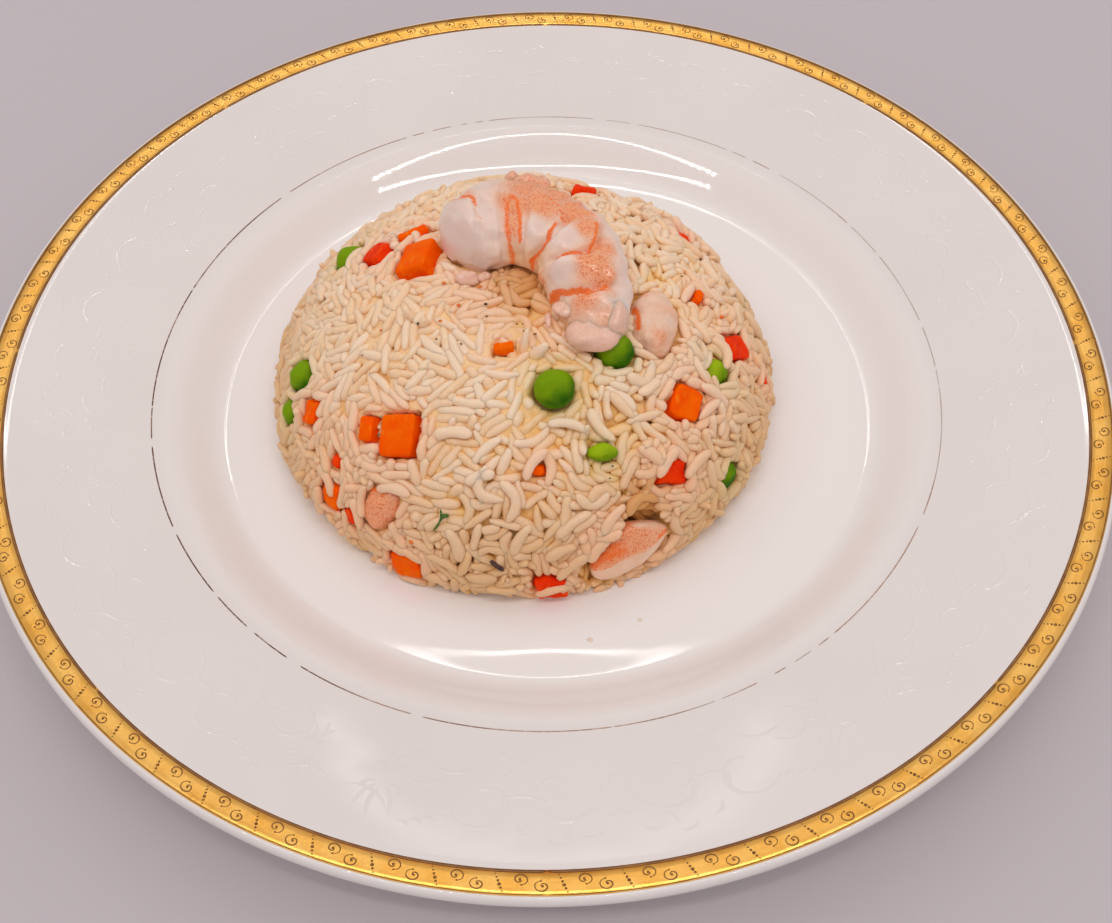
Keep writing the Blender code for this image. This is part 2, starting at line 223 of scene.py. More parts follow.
def turned(section, around, closed):
    """Corners and faces of a section of (radius, height) turned round Z.

    A closed section makes a ring; an open one starts and ends on the axis and makes a solid.
    """
    angles = np.arange(around) * math.tau / around
    rows = section if closed else section[1:-1]
    corners = [] if closed else [(0.0, 0.0, section[0][1])]
    for radius, height in rows:
        corners += [(radius * math.cos(a), radius * math.sin(a), height) for a in angles]
    if not closed:
        corners.append((0.0, 0.0, section[-1][1]))
        return corners, [tuple(reversed(face)) for face in tube_faces(len(rows), around)]
    faces = []
    for row in range(len(rows)):
        base = row * around
        after_row = (row + 1) % len(rows) * around
        for column in range(around):
            after = (column + 1) % around
            faces.append((base + column, after_row + column, after_row + after, base + after))
    return corners, faces


def raised_stroke(shape, path, normals, widths, height, around=6, **values):
    """Adds a rounded bead along a path on a surface, its underside sunk in the surface."""
    path = np.asarray(path, float)
    tangents = np.gradient(path, axis=0)
    tangents /= np.linalg.norm(tangents, axis=1)[:, None]
    across = np.cross(normals, tangents)
    turns = np.arange(around) * math.tau / around
    rise = np.where(np.sin(turns) > 0, 1.0, 0.5) * np.sin(turns) * height
    ring = across[:, None, :] * (np.asarray(widths)[:, None] / 2 * np.cos(turns))[..., None]
    ring = path[:, None, :] + ring + normals[:, None, :] * rise[None, :, None]
    corners = np.concatenate((path[:1], ring[1:-1].reshape(-1, 3), path[-1:]))
    shape.add(corners, tube_faces(len(path) - 2, around), **values)


# ---------------------------------------------------------------- plate

PLATE_RADIUS = 0.1335
PLATE_AROUND = 360
FLOOR_RADIUS = 0.0710
FLOOR_HEIGHT = 0.0065
DISH_RADIUS = 0.0800
DISH_HEIGHT = 0.0070
DISH_SLOPE = 0.115
SHOULDER_RADIUS = 0.0930
SHOULDER_HEIGHT = 0.0146
BAND_INNER = (0.1270, 0.0240)
BAND_OUTER = (0.1322, 0.0250)
LIP_DROP = 0.0034
UNDER_SHOULDER = (0.0960, 0.0112)
UNDER_WALL = (0.0850, 0.0068)
FOOT_OUTER = 0.0805
FOOT_INNER = 0.0775
FOOT_ROUND = 0.0006
FOOT_TOP = 0.0036
UNDER_FLOOR = 0.0025
RIM_SLOPE_IN = math.tan(math.radians(14.3))
RIM_SLOPE_OUT = math.tan(math.radians(16.5))
BAND_SLOPE = (BAND_OUTER[1] - BAND_INNER[1]) / (BAND_OUTER[0] - BAND_INNER[0])


def curve_between(start, end, slope_start, slope_end, steps):
    """Points (radius, height) of a smooth curve with the given end slopes, without its first point."""
    run = end[0] - start[0]
    points = []
    for step in range(1, steps + 1):
        t = step / steps
        height = (
            (2 * t**3 - 3 * t**2 + 1) * start[1]
            + (t**3 - 2 * t**2 + t) * run * slope_start
            + (3 * t**2 - 2 * t**3) * end[1]
            + (t**3 - t**2) * run * slope_end
        )
        points.append((start[0] + t * run, height))
    return points


def plate_top():
    """The plate's upper section, from the middle of its floor to the outer edge of the band."""
    points = [(FLOOR_RADIUS * step / 6, FLOOR_HEIGHT) for step in range(7)]
    points += curve_between(points[-1], (DISH_RADIUS, DISH_HEIGHT), 0.0, DISH_SLOPE, 12)
    points += curve_between(points[-1], (SHOULDER_RADIUS, SHOULDER_HEIGHT), DISH_SLOPE, RIM_SLOPE_IN, 20)
    points += curve_between(points[-1], BAND_INNER, RIM_SLOPE_IN, RIM_SLOPE_OUT, 24)
    inside = BAND_INNER[0] + 0.2 * MM
    return points + [(inside, BAND_INNER[1] + 0.2 * MM * BAND_SLOPE), BAND_OUTER]


PLATE_TOP = np.array(plate_top())


def on_plate(radius, angle, lift=0.0):
    """Places on the plate's upper face, lifted off it, and the normals there."""
    radius, angle = np.broadcast_arrays(np.asarray(radius, float), np.asarray(angle, float))
    height = np.interp(radius, PLATE_TOP[:, 0], PLATE_TOP[:, 1])
    slope = (np.interp(radius + 0.1 * MM, PLATE_TOP[:, 0], PLATE_TOP[:, 1]) - height) / (0.1 * MM)
    slope = np.where(radius > BAND_OUTER[0] - 0.2 * MM, BAND_SLOPE, slope)
    normals = np.stack((-slope * np.cos(angle), -slope * np.sin(angle), np.ones_like(slope)), -1)
    normals /= np.linalg.norm(normals, axis=-1)[..., None]
    places = np.stack((radius * np.cos(angle), radius * np.sin(angle), height), -1)
    return places + normals * lift, normals


def make_glaze():
    """White porcelain under a clear glaze, with a faint unevenness of colour and surface. The wall and the
    floor of the well are painted whiter: painted light that lifts the shade there.
    """
    made, wire = new_finish("porcelain_glaze", {"IOR": 1.5, "Coat IOR": 1.5})
    cloud = wire.grain(0.045, 3.0)
    fine = wire.grain(0.004, 2.0)
    place = wire.node("TexCoord", output="Object")
    flat = wire.node("VectorMath", {"operation": "MULTIPLY"}, {0: place, 1: (1.0, 1.0, 0.0)})
    radius = wire.node("VectorMath", {"operation": "LENGTH"}, {0: flat}, "Value")
    # Painted light: the steep wall of the well is painted whiter, to lift the shade that falls on it.
    painted_wall_light = radius.between(0.060, 0.079) * (1 - radius.between(0.089, 0.096))
    tone = wire.blend(cloud.between(0.3, 0.7), colour(0.785, 0.728, 0.708), colour(0.810, 0.752, 0.732))
    tone = wire.blend(painted_wall_light * 0.9, tone, colour(0.885, 0.835, 0.815))
    # Painted light: the floor of the well, inside its wall, is painted whiter too.
    tone = wire.blend((1 - radius.between(0.070, 0.080)) * 0.6, tone, colour(0.910, 0.860, 0.840))
    feed(made, {
        "Base Color": tone,
        "Roughness": 0.035 + 0.03 * cloud,
        "Normal": wire.bump(cloud + 0.02 * fine, 0.00008),
    })
    return made


def make_bisque():
    """Bare fired clay on the foot."""
    made, wire = new_finish("bare_foot", {})
    speck = wire.grain(0.0009, 3.0)
    tone = wire.blend(speck.between(0.45, 0.7), colour(0.70, 0.62, 0.54), colour(0.55, 0.46, 0.38))
    feed(made, {"Base Color": tone, "Roughness": 0.7 + 0.2 * speck, "Normal": wire.bump(speck, 0.00006)})
    return made


def make_gold():
    """Burnished gold over the glaze, brushed along by use."""
    made, wire = new_finish("gold_lustre", {"Metallic": 1.0})
    cloud = wire.grain(0.006, 3.0)
    fine = wire.grain(0.0008, 2.0)
    tone = wire.blend(cloud.between(0.3, 0.7), colour(0.86, 0.43, 0.08), colour(0.96, 0.55, 0.14))
    feed(made, {
        "Base Color": tone,
        "Roughness": 0.24 + 0.14 * cloud,
        "Normal": wire.bump(fine, 0.00004),
    })
    return made


def make_brown_print():
    """Dark brown enamel fired on the gold."""
    made, wire = new_finish("brown_enamel", {})
    cloud = wire.grain(0.0025, 2.0)
    tone = wire.blend(cloud.between(0.35, 0.75), colour(0.235, 0.092, 0.018), colour(0.36, 0.155, 0.034))
    feed(made, {"Base Color": tone, "Roughness": 0.35 + 0.2 * cloud})
    return made


def make_hairline():
    """The fine line inside the rim: worn brown, orange where fresh and grey where it is almost gone."""
    made, wire = new_finish("worn_hairline", {})
    wear = wire.value("wear")
    speck = wire.grain(0.0012, 2.0)
    tone = wire.blend(wear.between(0.0, 0.5), colour(0.16, 0.065, 0.030), colour(0.50, 0.30, 0.20))
    tone = wire.blend(wear.between(0.45, 1.0), tone, colour(0.64, 0.56, 0.54))
    tone = wire.blend(speck.between(0.5, 0.7) * 0.6, tone, colour(0.72, 0.62, 0.58))
    feed(made, {"Base Color": tone, "Roughness": 0.3 + 0.1 * speck})
    return made


def make_plate_body(glaze, bisque):
    """The turned plate, its foot bare where it stands."""
    section = list(plate_top())
    lip_out = PLATE_RADIUS - BAND_OUTER[0]
    for angle in range(75, -90, -15):
        turn = math.radians(angle)
        section.append((
            BAND_OUTER[0] + lip_out * math.cos(turn),
            BAND_OUTER[1] - LIP_DROP / 2 * (1 - math.sin(turn)),
        ))
    section += [UNDER_SHOULDER, UNDER_WALL, (FOOT_OUTER + FOOT_ROUND, FOOT_TOP)]
    section += [(FOOT_OUTER + FOOT_ROUND, FOOT_ROUND), (FOOT_OUTER + 0.3 * FOOT_ROUND, 0.3 * FOOT_ROUND)]
    section += [(FOOT_OUTER, 0.0), (FOOT_INNER, 0.0), (FOOT_INNER - 0.7 * FOOT_ROUND, 0.3 * FOOT_ROUND)]
    section += [(FOOT_INNER - FOOT_ROUND, FOOT_ROUND), (FOOT_INNER - 2 * FOOT_ROUND, UNDER_FLOOR)]
    section.append((0.0, UNDER_FLOOR))
    corners, faces = turned(section, PLATE_AROUND, closed=False)
    plate = add_piece("plate_body", corners, faces, glaze, stands_for=("plate",))
    plate.data.materials.append(bisque)
    for face in plate.data.polygons:
        if face.center.z < 0.4 * FOOT_ROUND:
            face.material_index = 1
    plate.data.set_sharp_from_angle(angle=math.radians(40))
    return plate


# Relief on the rim. Its height, inner edge and span are in metres.
RELIEF_REPEATS = 13
RELIEF_HEIGHT = 0.00005
RELIEF_INNER = 0.0985
RELIEF_SPAN = 0.0265
SCROLL_LEAVES = 7
FAN_STROKES = 5


def arc_path(middle, radius, start, sweep, steps=12, tighten=0.0):
    """Points of an arc in the flat, its radius shrinking by the share tighten along the way."""
    turns = np.radians(start + sweep * np.linspace(0, 1, steps))
    radii = radius * (1 - tighten * np.linspace(0, 1, steps))
    return np.stack((middle[0] + radii * np.cos(turns), middle[1] + radii * np.sin(turns)), -1)


def relief_motif():
    """One repeat of the relief, laid flat: paths with their greatest widths, in millimetres."""
    strokes = [
        (arc_path((11, 12), 8.6, 200, -285, 26, 0.62), 1.25),
        (arc_path((26, 15), 6.8, 20, 285, 24, 0.60), 1.15),
        (arc_path((40, 8), 5.6, 160, -250, 20, 0.55), 1.05),
        (arc_path((18.5, 22), 9.0, -128, 70, 12), 0.8),
        (arc_path((34, 1.5), 7.5, 60, 78, 12), 0.8),
        (arc_path((3, 24), 7.5, -95, 85, 12), 0.85),
        (arc_path((50, 23.5), 7.0, -150, 85, 12), 0.85),
    ]
    for leaf in range(SCROLL_LEAVES):
        angle = 190 - 34 * leaf
        out = Vector((math.cos(math.radians(angle)), math.sin(math.radians(angle))))
        base = (11 + 9.6 * out.x, 12 + 9.6 * out.y)
        strokes.append((arc_path(base, 2.4, angle - 70, 110, 8), 0.7))
    for blade in range(FAN_STROKES):
        lean = -46 + 23 * blade
        length = 8.2 - 0.02 * lean * lean / 10
        start = np.array((46.5, 13.5))
        way = np.array((math.sin(math.radians(lean)), math.cos(math.radians(lean))))
        side = np.array((way[1], -way[0]))
        t = np.linspace(0, 1, 10)[:, None]
        bow = np.sin(t * math.pi) * 0.9 * math.copysign(1, lean or 1)
        strokes.append((start + way * (1.6 + length * t) + side * bow, 1.0))
        strokes.append((start - way * (1.6 + 0.8 * length * t) + side * bow, 0.85))
    for drop in range(4):
        strokes.append((arc_path((20 + 2.4 * drop, 4.5 - 0.8 * drop), 1.3, 200, -120, 7), 0.75))
        strokes.append((arc_path((33.5 + 2.2 * drop, 20.5 + 0.9 * drop), 1.4, -160, 120, 7), 0.75))
    return strokes


def make_relief(glaze):
    """White relief under the glaze, turned over from one repeat to the next."""
    shape = Shape()
    pitch = math.tau / RELIEF_REPEATS
    motif = relief_motif()
    along_span = 55.0
    for repeat in range(RELIEF_REPEATS):
        for path, widest in motif:
            flipped = repeat % 2 == 1
            along = (along_span - path[:, 0]) if flipped else path[:, 0]
            out = path[:, 1] / 27.0
            radius = RELIEF_INNER + RELIEF_SPAN * np.clip(out, 0.0, 1.0)
            angle = pitch * (repeat + along / along_span)
            places, normals = on_plate(radius, angle)
            t = np.linspace(0, 1, len(path))
            widths = widest * MM * np.sin(np.pi * np.clip(0.08 + 0.84 * t, 0, 1)) ** 0.8
            raised_stroke(shape, places, normals, widths, RELIEF_HEIGHT, 8)
    relief = shape.piece("rim_relief", glaze)
    relief.data.set_sharp_from_angle(angle=math.radians(60))
    return relief


# Gold border. Its pattern is laid flat: along the band and across it from its middle, in millimetres.
BORDER_REPEATS = 69
BAND_LIFT = 0.00004
PRINT_HEIGHT = 0.00005
SCROLL_RADIUS = 1.48
SCROLL_TURN = 415
SCROLLS = (((3.85, -0.62), 20), ((8.0, 0.62), 200))
SCROLL_EYE = 0.28
SCROLL_END = 0.20
DOT_RADII = (0.15, 0.20, 0.27, 0.36, 0.26, 0.17)
EDGE_LINES = ((BAND_INNER[0] + 0.34 * MM, 0.66 * MM, 0.10), (BAND_OUTER[0] - 0.32 * MM, 0.20 * MM, 0.3))
LINE_PARTS = 8
LINE_STEPS = 90


def border_place(along, across, repeat, lift):
    """Places on the band from flat places in millimetres."""
    middle = (BAND_INNER[0] + BAND_OUTER[0]) / 2
    angle = math.tau * repeat / BORDER_REPEATS + np.asarray(along, float) * MM / middle
    return on_plate(middle + np.asarray(across, float) * MM, angle, lift)


def scroll_path(middle, turn, steps=24):
    """A scroll that leaves its eye, winds out once and a quarter and ends in a small hook."""
    t = np.linspace(0, 1, steps)
    radii = SCROLL_RADIUS * (0.16 + 0.84 * t**0.8)
    turns = np.radians(turn + SCROLL_TURN * t)
    radii = np.where(t > 0.86, radii * (1 - 1.6 * (t - 0.86)), radii)
    return np.stack((middle[0] + 1.08 * radii * np.cos(turns), middle[1] + 0.92 * radii * np.sin(turns)), -1)


def add_dot(shape, place, normal, radius, around=8):
    """A flat round dot that stands a little proud."""
    side = np.cross(normal, (0.0, 0.0, 1.0))
    if np.linalg.norm(side) < 1e-6:
        side = np.array((1.0, 0.0, 0.0))
    side /= np.linalg.norm(side)
    other = np.cross(normal, side)
    turns = np.arange(around) * math.tau / around
    ring = place + radius * (np.cos(turns)[:, None] * side + np.sin(turns)[:, None] * other)
    corners = np.concatenate(([place - normal * PRINT_HEIGHT], ring, [place + normal * PRINT_HEIGHT]))
    shape.add(corners, tube_faces(1, around))


def make_border(gold, brown):
    """The gold band with its brown edge lines, scrolls and rows of dots."""
    low, high = BAND_INNER[0], BAND_OUTER[0]
    section = []
    for radius, lift in ((low - 0.02 * MM, -0.05 * MM), (low, BAND_LIFT), (low + 1.8 * MM, BAND_LIFT),
                         (high - 1.8 * MM, BAND_LIFT), (high, BAND_LIFT), (high + 0.03 * MM, -0.10 * MM)):
        height = BAND_INNER[1] + (radius - low) * BAND_SLOPE + lift
        section.append((radius, height))
    corners, faces = turned(section, PLATE_AROUND, closed=True)
    add_piece("gold_band", corners, [tuple(reversed(face)) for face in faces], gold)

    shape = Shape()
    around = np.linspace(0, math.tau, LINE_PARTS * LINE_STEPS + 1)
    for radius, width, sway in EDGE_LINES:
        for part in range(LINE_PARTS):
            angle = around[part * LINE_STEPS:(part + 1) * LINE_STEPS + 1]
            places, normals = on_plate(np.full(len(angle), radius), angle, BAND_LIFT)
            swaying = [noise.noise((40 * math.cos(a), 40 * math.sin(a), radius)) for a in angle]
            widths = [width * (1 + sway * amount) for amount in swaying]
            raised_stroke(shape, places, normals, widths, PRINT_HEIGHT, 4)
    for repeat in range(BORDER_REPEATS):
        for index, radius in enumerate(DOT_RADII):
            t = index / (len(DOT_RADII) - 1)
            place, normal = border_place(-0.75 + 1.5 * t, -1.62 + 3.4 * t, repeat, BAND_LIFT)
            add_dot(shape, place, normal, radius * MM)
        for middle, turn in SCROLLS:
            path = scroll_path(middle, turn)
            places, normals = border_place(path[:, 0], path[:, 1], repeat, BAND_LIFT)
            t = np.linspace(0, 1, len(path))
            widths = MM * (0.15 + 0.15 * np.sin(np.pi * t))
            raised_stroke(shape, places, normals, widths, PRINT_HEIGHT, 4)
            eye, normal = border_place(middle[0], middle[1], repeat, BAND_LIFT)
            add_dot(shape, eye, normal, SCROLL_EYE * MM)
            add_dot(shape, places[-1], normals[-1], SCROLL_END * MM)
    return shape.piece("brown_border_print", brown)


HAIRLINE_RADIUS = 0.0958
HAIRLINE_STEPS = 900


def make_inner_line(finish):
    """The hairline round the well, worn through in places."""
    shape = Shape()
    run = []
    for step in range(HAIRLINE_STEPS + 1):
        angle = math.tau * step / HAIRLINE_STEPS
        place = Vector((math.cos(angle), math.sin(angle), 0.0))
        left = max(0.0, -place.x)
        patch = noise.noise(place * 9.0 + Vector((0.0, 0.0, 4.0)))
        worn = 0.80 - 0.75 * left - 0.35 * max(0.0, -place.y) + 0.45 * patch
        gone = noise.noise(place * 38.0) > 0.42 or step == HAIRLINE_STEPS
        if not gone:
            run.append((angle, worn))
            if len(run) < 60:
                continue
        if len(run) > 3:
            angles = np.array([part[0] for part in run])
            wear = np.clip([part[1] for part in run], 0.0, 1.0)
            places, normals = on_plate(np.full(len(run), HAIRLINE_RADIUS), angles)
            widths = (0.34 - 0.12 * wear) * MM
            per_corner = np.concatenate((wear[:1], np.repeat(wear[1:-1], 4), wear[-1:]))
            raised_stroke(shape, places, normals, widths, 0.00003, 4, wear=per_corner)
        run = [] if gone else run[-1:]
    return shape.piece("inner_hairline", finish)


# ---------------------------------------------------------------- the dome and its places

DOME_SINK = 0.0006


class Dome:
    """The even dome that the rice was pressed in, read from the rice's own box."""

    low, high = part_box("rice")
    centre = Vector(((low.x + high.x) / 2, (low.y + high.y) / 2, low.z))
    radius = (high.x - low.x + high.y - low.y) / 4 - DOME_SINK
    height = high.z - low.z - DOME_SINK / 2

    @classmethod
    def place(cls, bearing, rise):
        """The point at a bearing and a rise, and the normal there."""
        side, up = math.radians(bearing), math.radians(rise)
        way = Vector((math.cos(up) * math.sin(side), -math.cos(up) * math.cos(side), math.sin(up)))
        point = Vector((way.x * cls.radius, way.y * cls.radius, way.z * cls.height))
        normal = Vector((way.x / cls.radius, way.y / cls.radius, way.z / cls.height)).normalized()
        return cls.centre + point, normal

    @classmethod
    def depth(cls, places):
        """How deep places lie in the dome, and the outward normals there."""
        scale = np.array((cls.radius, cls.radius, cls.height))
        away = places - np.array(cls.centre)
        level = np.linalg.norm(away / scale, axis=-1)
        slope = away / scale**2
        steep = np.linalg.norm(slope, axis=-1)
        return (1 - level) * level / np.maximum(steep, 1e-9), slope / np.maximum(steep, 1e-9)[..., None]


def node_middle(name):
    """The middle of a CAD node's box."""
    low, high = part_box(name)
    return (low + high) / 2


def solid_of(name):
    """A tree of a CAD node's faces, to ask how far a place is from its skin."""
    mesh = NODES[name].data
    places = [vert.co.copy() for vert in mesh.vertices]
    return BVHTree.FromPolygons(places, [tuple(face.vertices) for face in mesh.polygons])


# ---------------------------------------------------------------- rice

GRAIN_LENGTH = 0.0074
GRAIN_LENGTH_SPREAD = 0.0009
GRAIN_LENGTHS = (0.0052, 0.0096)
GRAIN_GIRTH = 0.00130
BROKEN_SHARE = 0.07
BROKEN_LENGTH = 0.58
# The outer and the inner layer: how deep each lies and how many grains it has.
LAYERS = ((0.0011, 1980), (0.0034, 900))
GRAIN_ROWS = (8, 6)
GRAIN_COLUMNS = (11, 8)

# The core: its depth under the dome's skin, more where the rice is loose, in pits and in the hollows, which
# carry painted shade.
PASTE_DEPTH = 0.00055
PASTE_LOOSE = 0.0012
PIT_DEPTH = 0.0012
HOLLOW_DEPTH = 0.0026
CORE_ROWS = 110
CORE_COLUMNS = 300
CORE_START = 0.004
CORE_LOOK = 0.014
CORE_DEEPEST = 0.008

# Settling: each grain is four beads, pushed off each other, in from the skin and out of the pockets.
BEADS = np.array((-1.0, -1 / 3, 1 / 3, 1.0))
BEAD_GIRTHS = np.array((0.86, 0.98, 0.98, 0.86))
SQUEEZE = 0.76
SETTLE_ROUNDS = 72
PAIRS_EVERY = 6
WALLS_EVERY = 2
PAIR_REACH = 0.9 * MM
PAIR_PUSH = 0.42
WALL_PUSH = 0.55
WALL_STEP = 1.2 * MM
WALL_REACH = 4 * MM
ON_WALL = 0.2 * MM
SKIN_DEPTH = 1.6 * MM
COVER_REACH = 2.0 * MM
HEAP_DEPTH = 0.0050
HUG = 0.00008

# Where the dome was pressed smoothest, and hollows in it as a place from its middle and a radius. The hollows
# are painted with a dark orange shade.
PRESSED_WAY = Vector((-0.45, -0.30, 0.84)).normalized()
HOLLOWS = (((0.0010, -0.0050), 0.0076), ((0.0270, -0.0470), 0.0040))

# Grains laid on top one by one: (bearing, rise, heading, length in mm, bow in mm). Heading 0 runs round the
# dome and 90 runs up it.
LAID_GRAINS = (
    (6.7, 6.4, 12, 8.6, 0.4), (11.0, 14.4, 36, 9.4, 0.4), (17.0, 18.4, 42, 7.8, 0.3),
    (21.0, 25.4, 40, 8.4, 0.3), (8.6, 19.6, 20, 7.4, 0.3), (-9.0, 36.6, -58, 8.4, -2.0),
    (-1.6, 34.2, -80, 9.0, 1.4), (16.0, 50.4, -26, 9.0, 0.7), (21.0, 55.0, 70, 9.2, 1.8),
    (25.0, 48.0, -72, 8.8, -0.5), (-10.2, 39.4, 27, 6.6, 0.3), (36.0, 36.0, -60, 8.8, 0.3),
    (38.6, 33.0, 22, 8.2, 0.3), (46.0, 27.5, 6, 9.0, 0.4), (62.0, 36.5, -78, 8.8, 0.4),
    (-24.5, 13.4, -12, 7.4, 0.4), (-31.0, 30.0, 14, 8.2, 0.5), (-49.0, 20.0, -30, 7.8, 0.6),
    (0.0, 24.0, 60, 8.2, 0.4), (-14.0, 20.6, -64, 8.4, 0.4), (28.5, 27.5, 4, 7.6, 1.2),
    (12.0, 27.0, 28, 9.2, 0.4), (4.0, 43.0, 50, 8.0, 0.5), (-20.0, 48.0, 16, 8.4, 0.4),
    (120.0, 30.0, 20, 8.4, 0.6), (160.0, 24.0, -34, 8.0, 0.5), (-150.0, 34.0, 50, 8.6, 0.5),
    (-120.0, 22.0, -10, 8.2, 1.4), (95.0, 24.0, 70, 8.4, 0.4), (178.0, 42.0, 12, 8.2, 0.4),
    (140.0, 12.0, 40, 8.0, 0.5), (-100.0, 38.0, 30, 8.4, 0.3),
)
LAID_LIFT = 0.0006


def looseness(places):
    """0 where the dome was pressed smooth, 1 where grains have come loose."""
    away = places - np.array(Dome.centre)
    away /= np.linalg.norm(away, axis=-1)[..., None]
    facing = away @ np.array(PRESSED_WAY)
    return np.clip((0.93 - facing) / 0.42, 0.0, 1.0)


def unit(vectors):
    """Vectors scaled to length 1."""
    return vectors / np.maximum(np.linalg.norm(vectors, axis=-1), 1e-12)[..., None]


class Grains:
    """Rice grains as arrays: middle, axis, the way each bows, and its sizes."""

    def __init__(self, rng):
        layers = [self.scatter(rng, depth, count) for depth, count in LAYERS]
        self.middle = np.concatenate([layer[0] for layer in layers])
        self.normal = np.concatenate([layer[1] for layer in layers])
        self.layer = np.repeat(range(len(LAYERS)), [count for _, count in LAYERS])
        count = len(self.middle)
        self.loose = looseness(self.middle)
        tilt = rng.normal(0, 1, count) * np.radians(7 + 17 * self.loose)
        tilt += (rng.random(count) < 0.10 * self.loose) * np.radians(28)
        flat = unit(np.cross(self.normal, rng.normal(size=(count, 3))))
        self.axis = unit(flat * np.cos(tilt)[:, None] + self.normal * np.sin(tilt)[:, None])
        self.bow_way = unit(np.cross(self.axis, rng.normal(size=(count, 3))))
        self.length = np.clip(rng.normal(GRAIN_LENGTH, GRAIN_LENGTH_SPREAD, count), *GRAIN_LENGTHS)
        broken = rng.random(count) < BROKEN_SHARE
        self.length = np.where(broken, self.length * BROKEN_LENGTH, self.length)
        self.girth = GRAIN_GIRTH * rng.uniform(0.90, 1.08, count)
        self.bow = np.abs(rng.normal(0, 0.00025, count))
        curly = rng.random(count) < 0.08 + 0.30 * self.loose
        self.bow = np.where(curly, rng.uniform(0.0006, 0.0016, count), self.bow)
        self.bow = np.where(broken, 0.0, self.bow)
        proud = rng.random(count) ** 2.5
        self.slack = -0.0005 + self.loose * (0.0001 + 0.0011 * proud)
        self.shade = rng.normal(0, 1, count)

    @staticmethod
    def scatter(rng, depth, count):
        """Places spread evenly over the dome at a depth, and the normals there."""
        radius, height = Dome.radius - depth, Dome.height - depth
        places = []
        while len(places) < count:
            bearing = rng.uniform(0, math.tau)
            up = rng.uniform(0.0, 1.0)
            side = math.sqrt(1 - up * up)
            if rng.random() > math.hypot(side * height / radius, up):
                continue
            places.append((side * radius * math.cos(bearing), side * radius * math.sin(bearing), up * height))
        places = np.array(places) + np.array(Dome.centre)
        places[:, 2] = np.maximum(places[:, 2], Dome.centre.z + GRAIN_GIRTH)
        return places, Dome.depth(places)[1]

    def lay(self, rng, places):
        """Adds the listed grains laid on top."""
        for bearing, rise, heading, length, bow in places:
            point, normal = Dome.place(bearing, rise)
            along = Vector((math.cos(math.radians(bearing)), math.sin(math.radians(bearing)), 0.0))
            turn = math.radians(heading)
            axis = along * math.cos(turn) + normal.cross(along) * math.sin(turn)
            axis = (axis - normal * axis.dot(normal)).normalized()
            added = {
                "middle": point + normal * LAID_LIFT,
                "normal": normal,
                "axis": axis,
                "bow_way": normal.cross(axis),
                "layer": 0,
                "length": length * MM,
                "girth": GRAIN_GIRTH * rng.uniform(0.95, 1.08),
                "bow": bow * MM,
                "shade": rng.normal(0.8, 0.6),
            }
            for name, value in added.items():
                setattr(self, name, np.concatenate((getattr(self, name), np.array(value)[None, ...])))

    def reach(self):
        """Half the distance between a grain's end beads."""
        return np.maximum(self.length / 2 - self.girth, 0.2 * MM)

    def beads(self):
        """The four beads that stand for each grain, and how far each lies from the grain's middle."""
        along = self.axis[:, None, :] * (self.reach()[:, None] * BEADS)[..., None]
        aside = self.bow_way[:, None, :] * (self.bow[:, None] * (0.5 - BEADS**2))[..., None]
        return self.middle[:, None, :] + along + aside, along + aside

    def move(self, pushes, arms):
        """Moves and turns the grains by pushes on their beads."""
        touched = np.maximum((np.abs(pushes).sum(-1) > 0).sum(1), 1)
        self.middle += pushes.sum(1) / touched[:, None]
        spin = np.cross(arms, pushes).sum(1) / np.maximum((arms**2).sum((1, 2)), 1e-9)[:, None]
        self.axis = unit(self.axis + np.cross(spin, self.axis))
        turned_way = self.bow_way + np.cross(spin, self.bow_way)
        self.bow_way = unit(turned_way - self.axis * (turned_way * self.axis).sum(1)[:, None])


def close_pairs(places, owners, reach):
    """Pairs of beads of different grains that lie within reach of each other."""
    tree = kdtree.KDTree(len(places))
    for index, place in enumerate(places):
        tree.insert(place, index)
    tree.balance()
    first, second = [], []
    for index, place in enumerate(places):
        for _, other, _ in tree.find_range(place, reach):
            if other > index and owners[other] != owners[index]:
                first.append(index)
                second.append(other)
    return np.array(first), np.array(second)


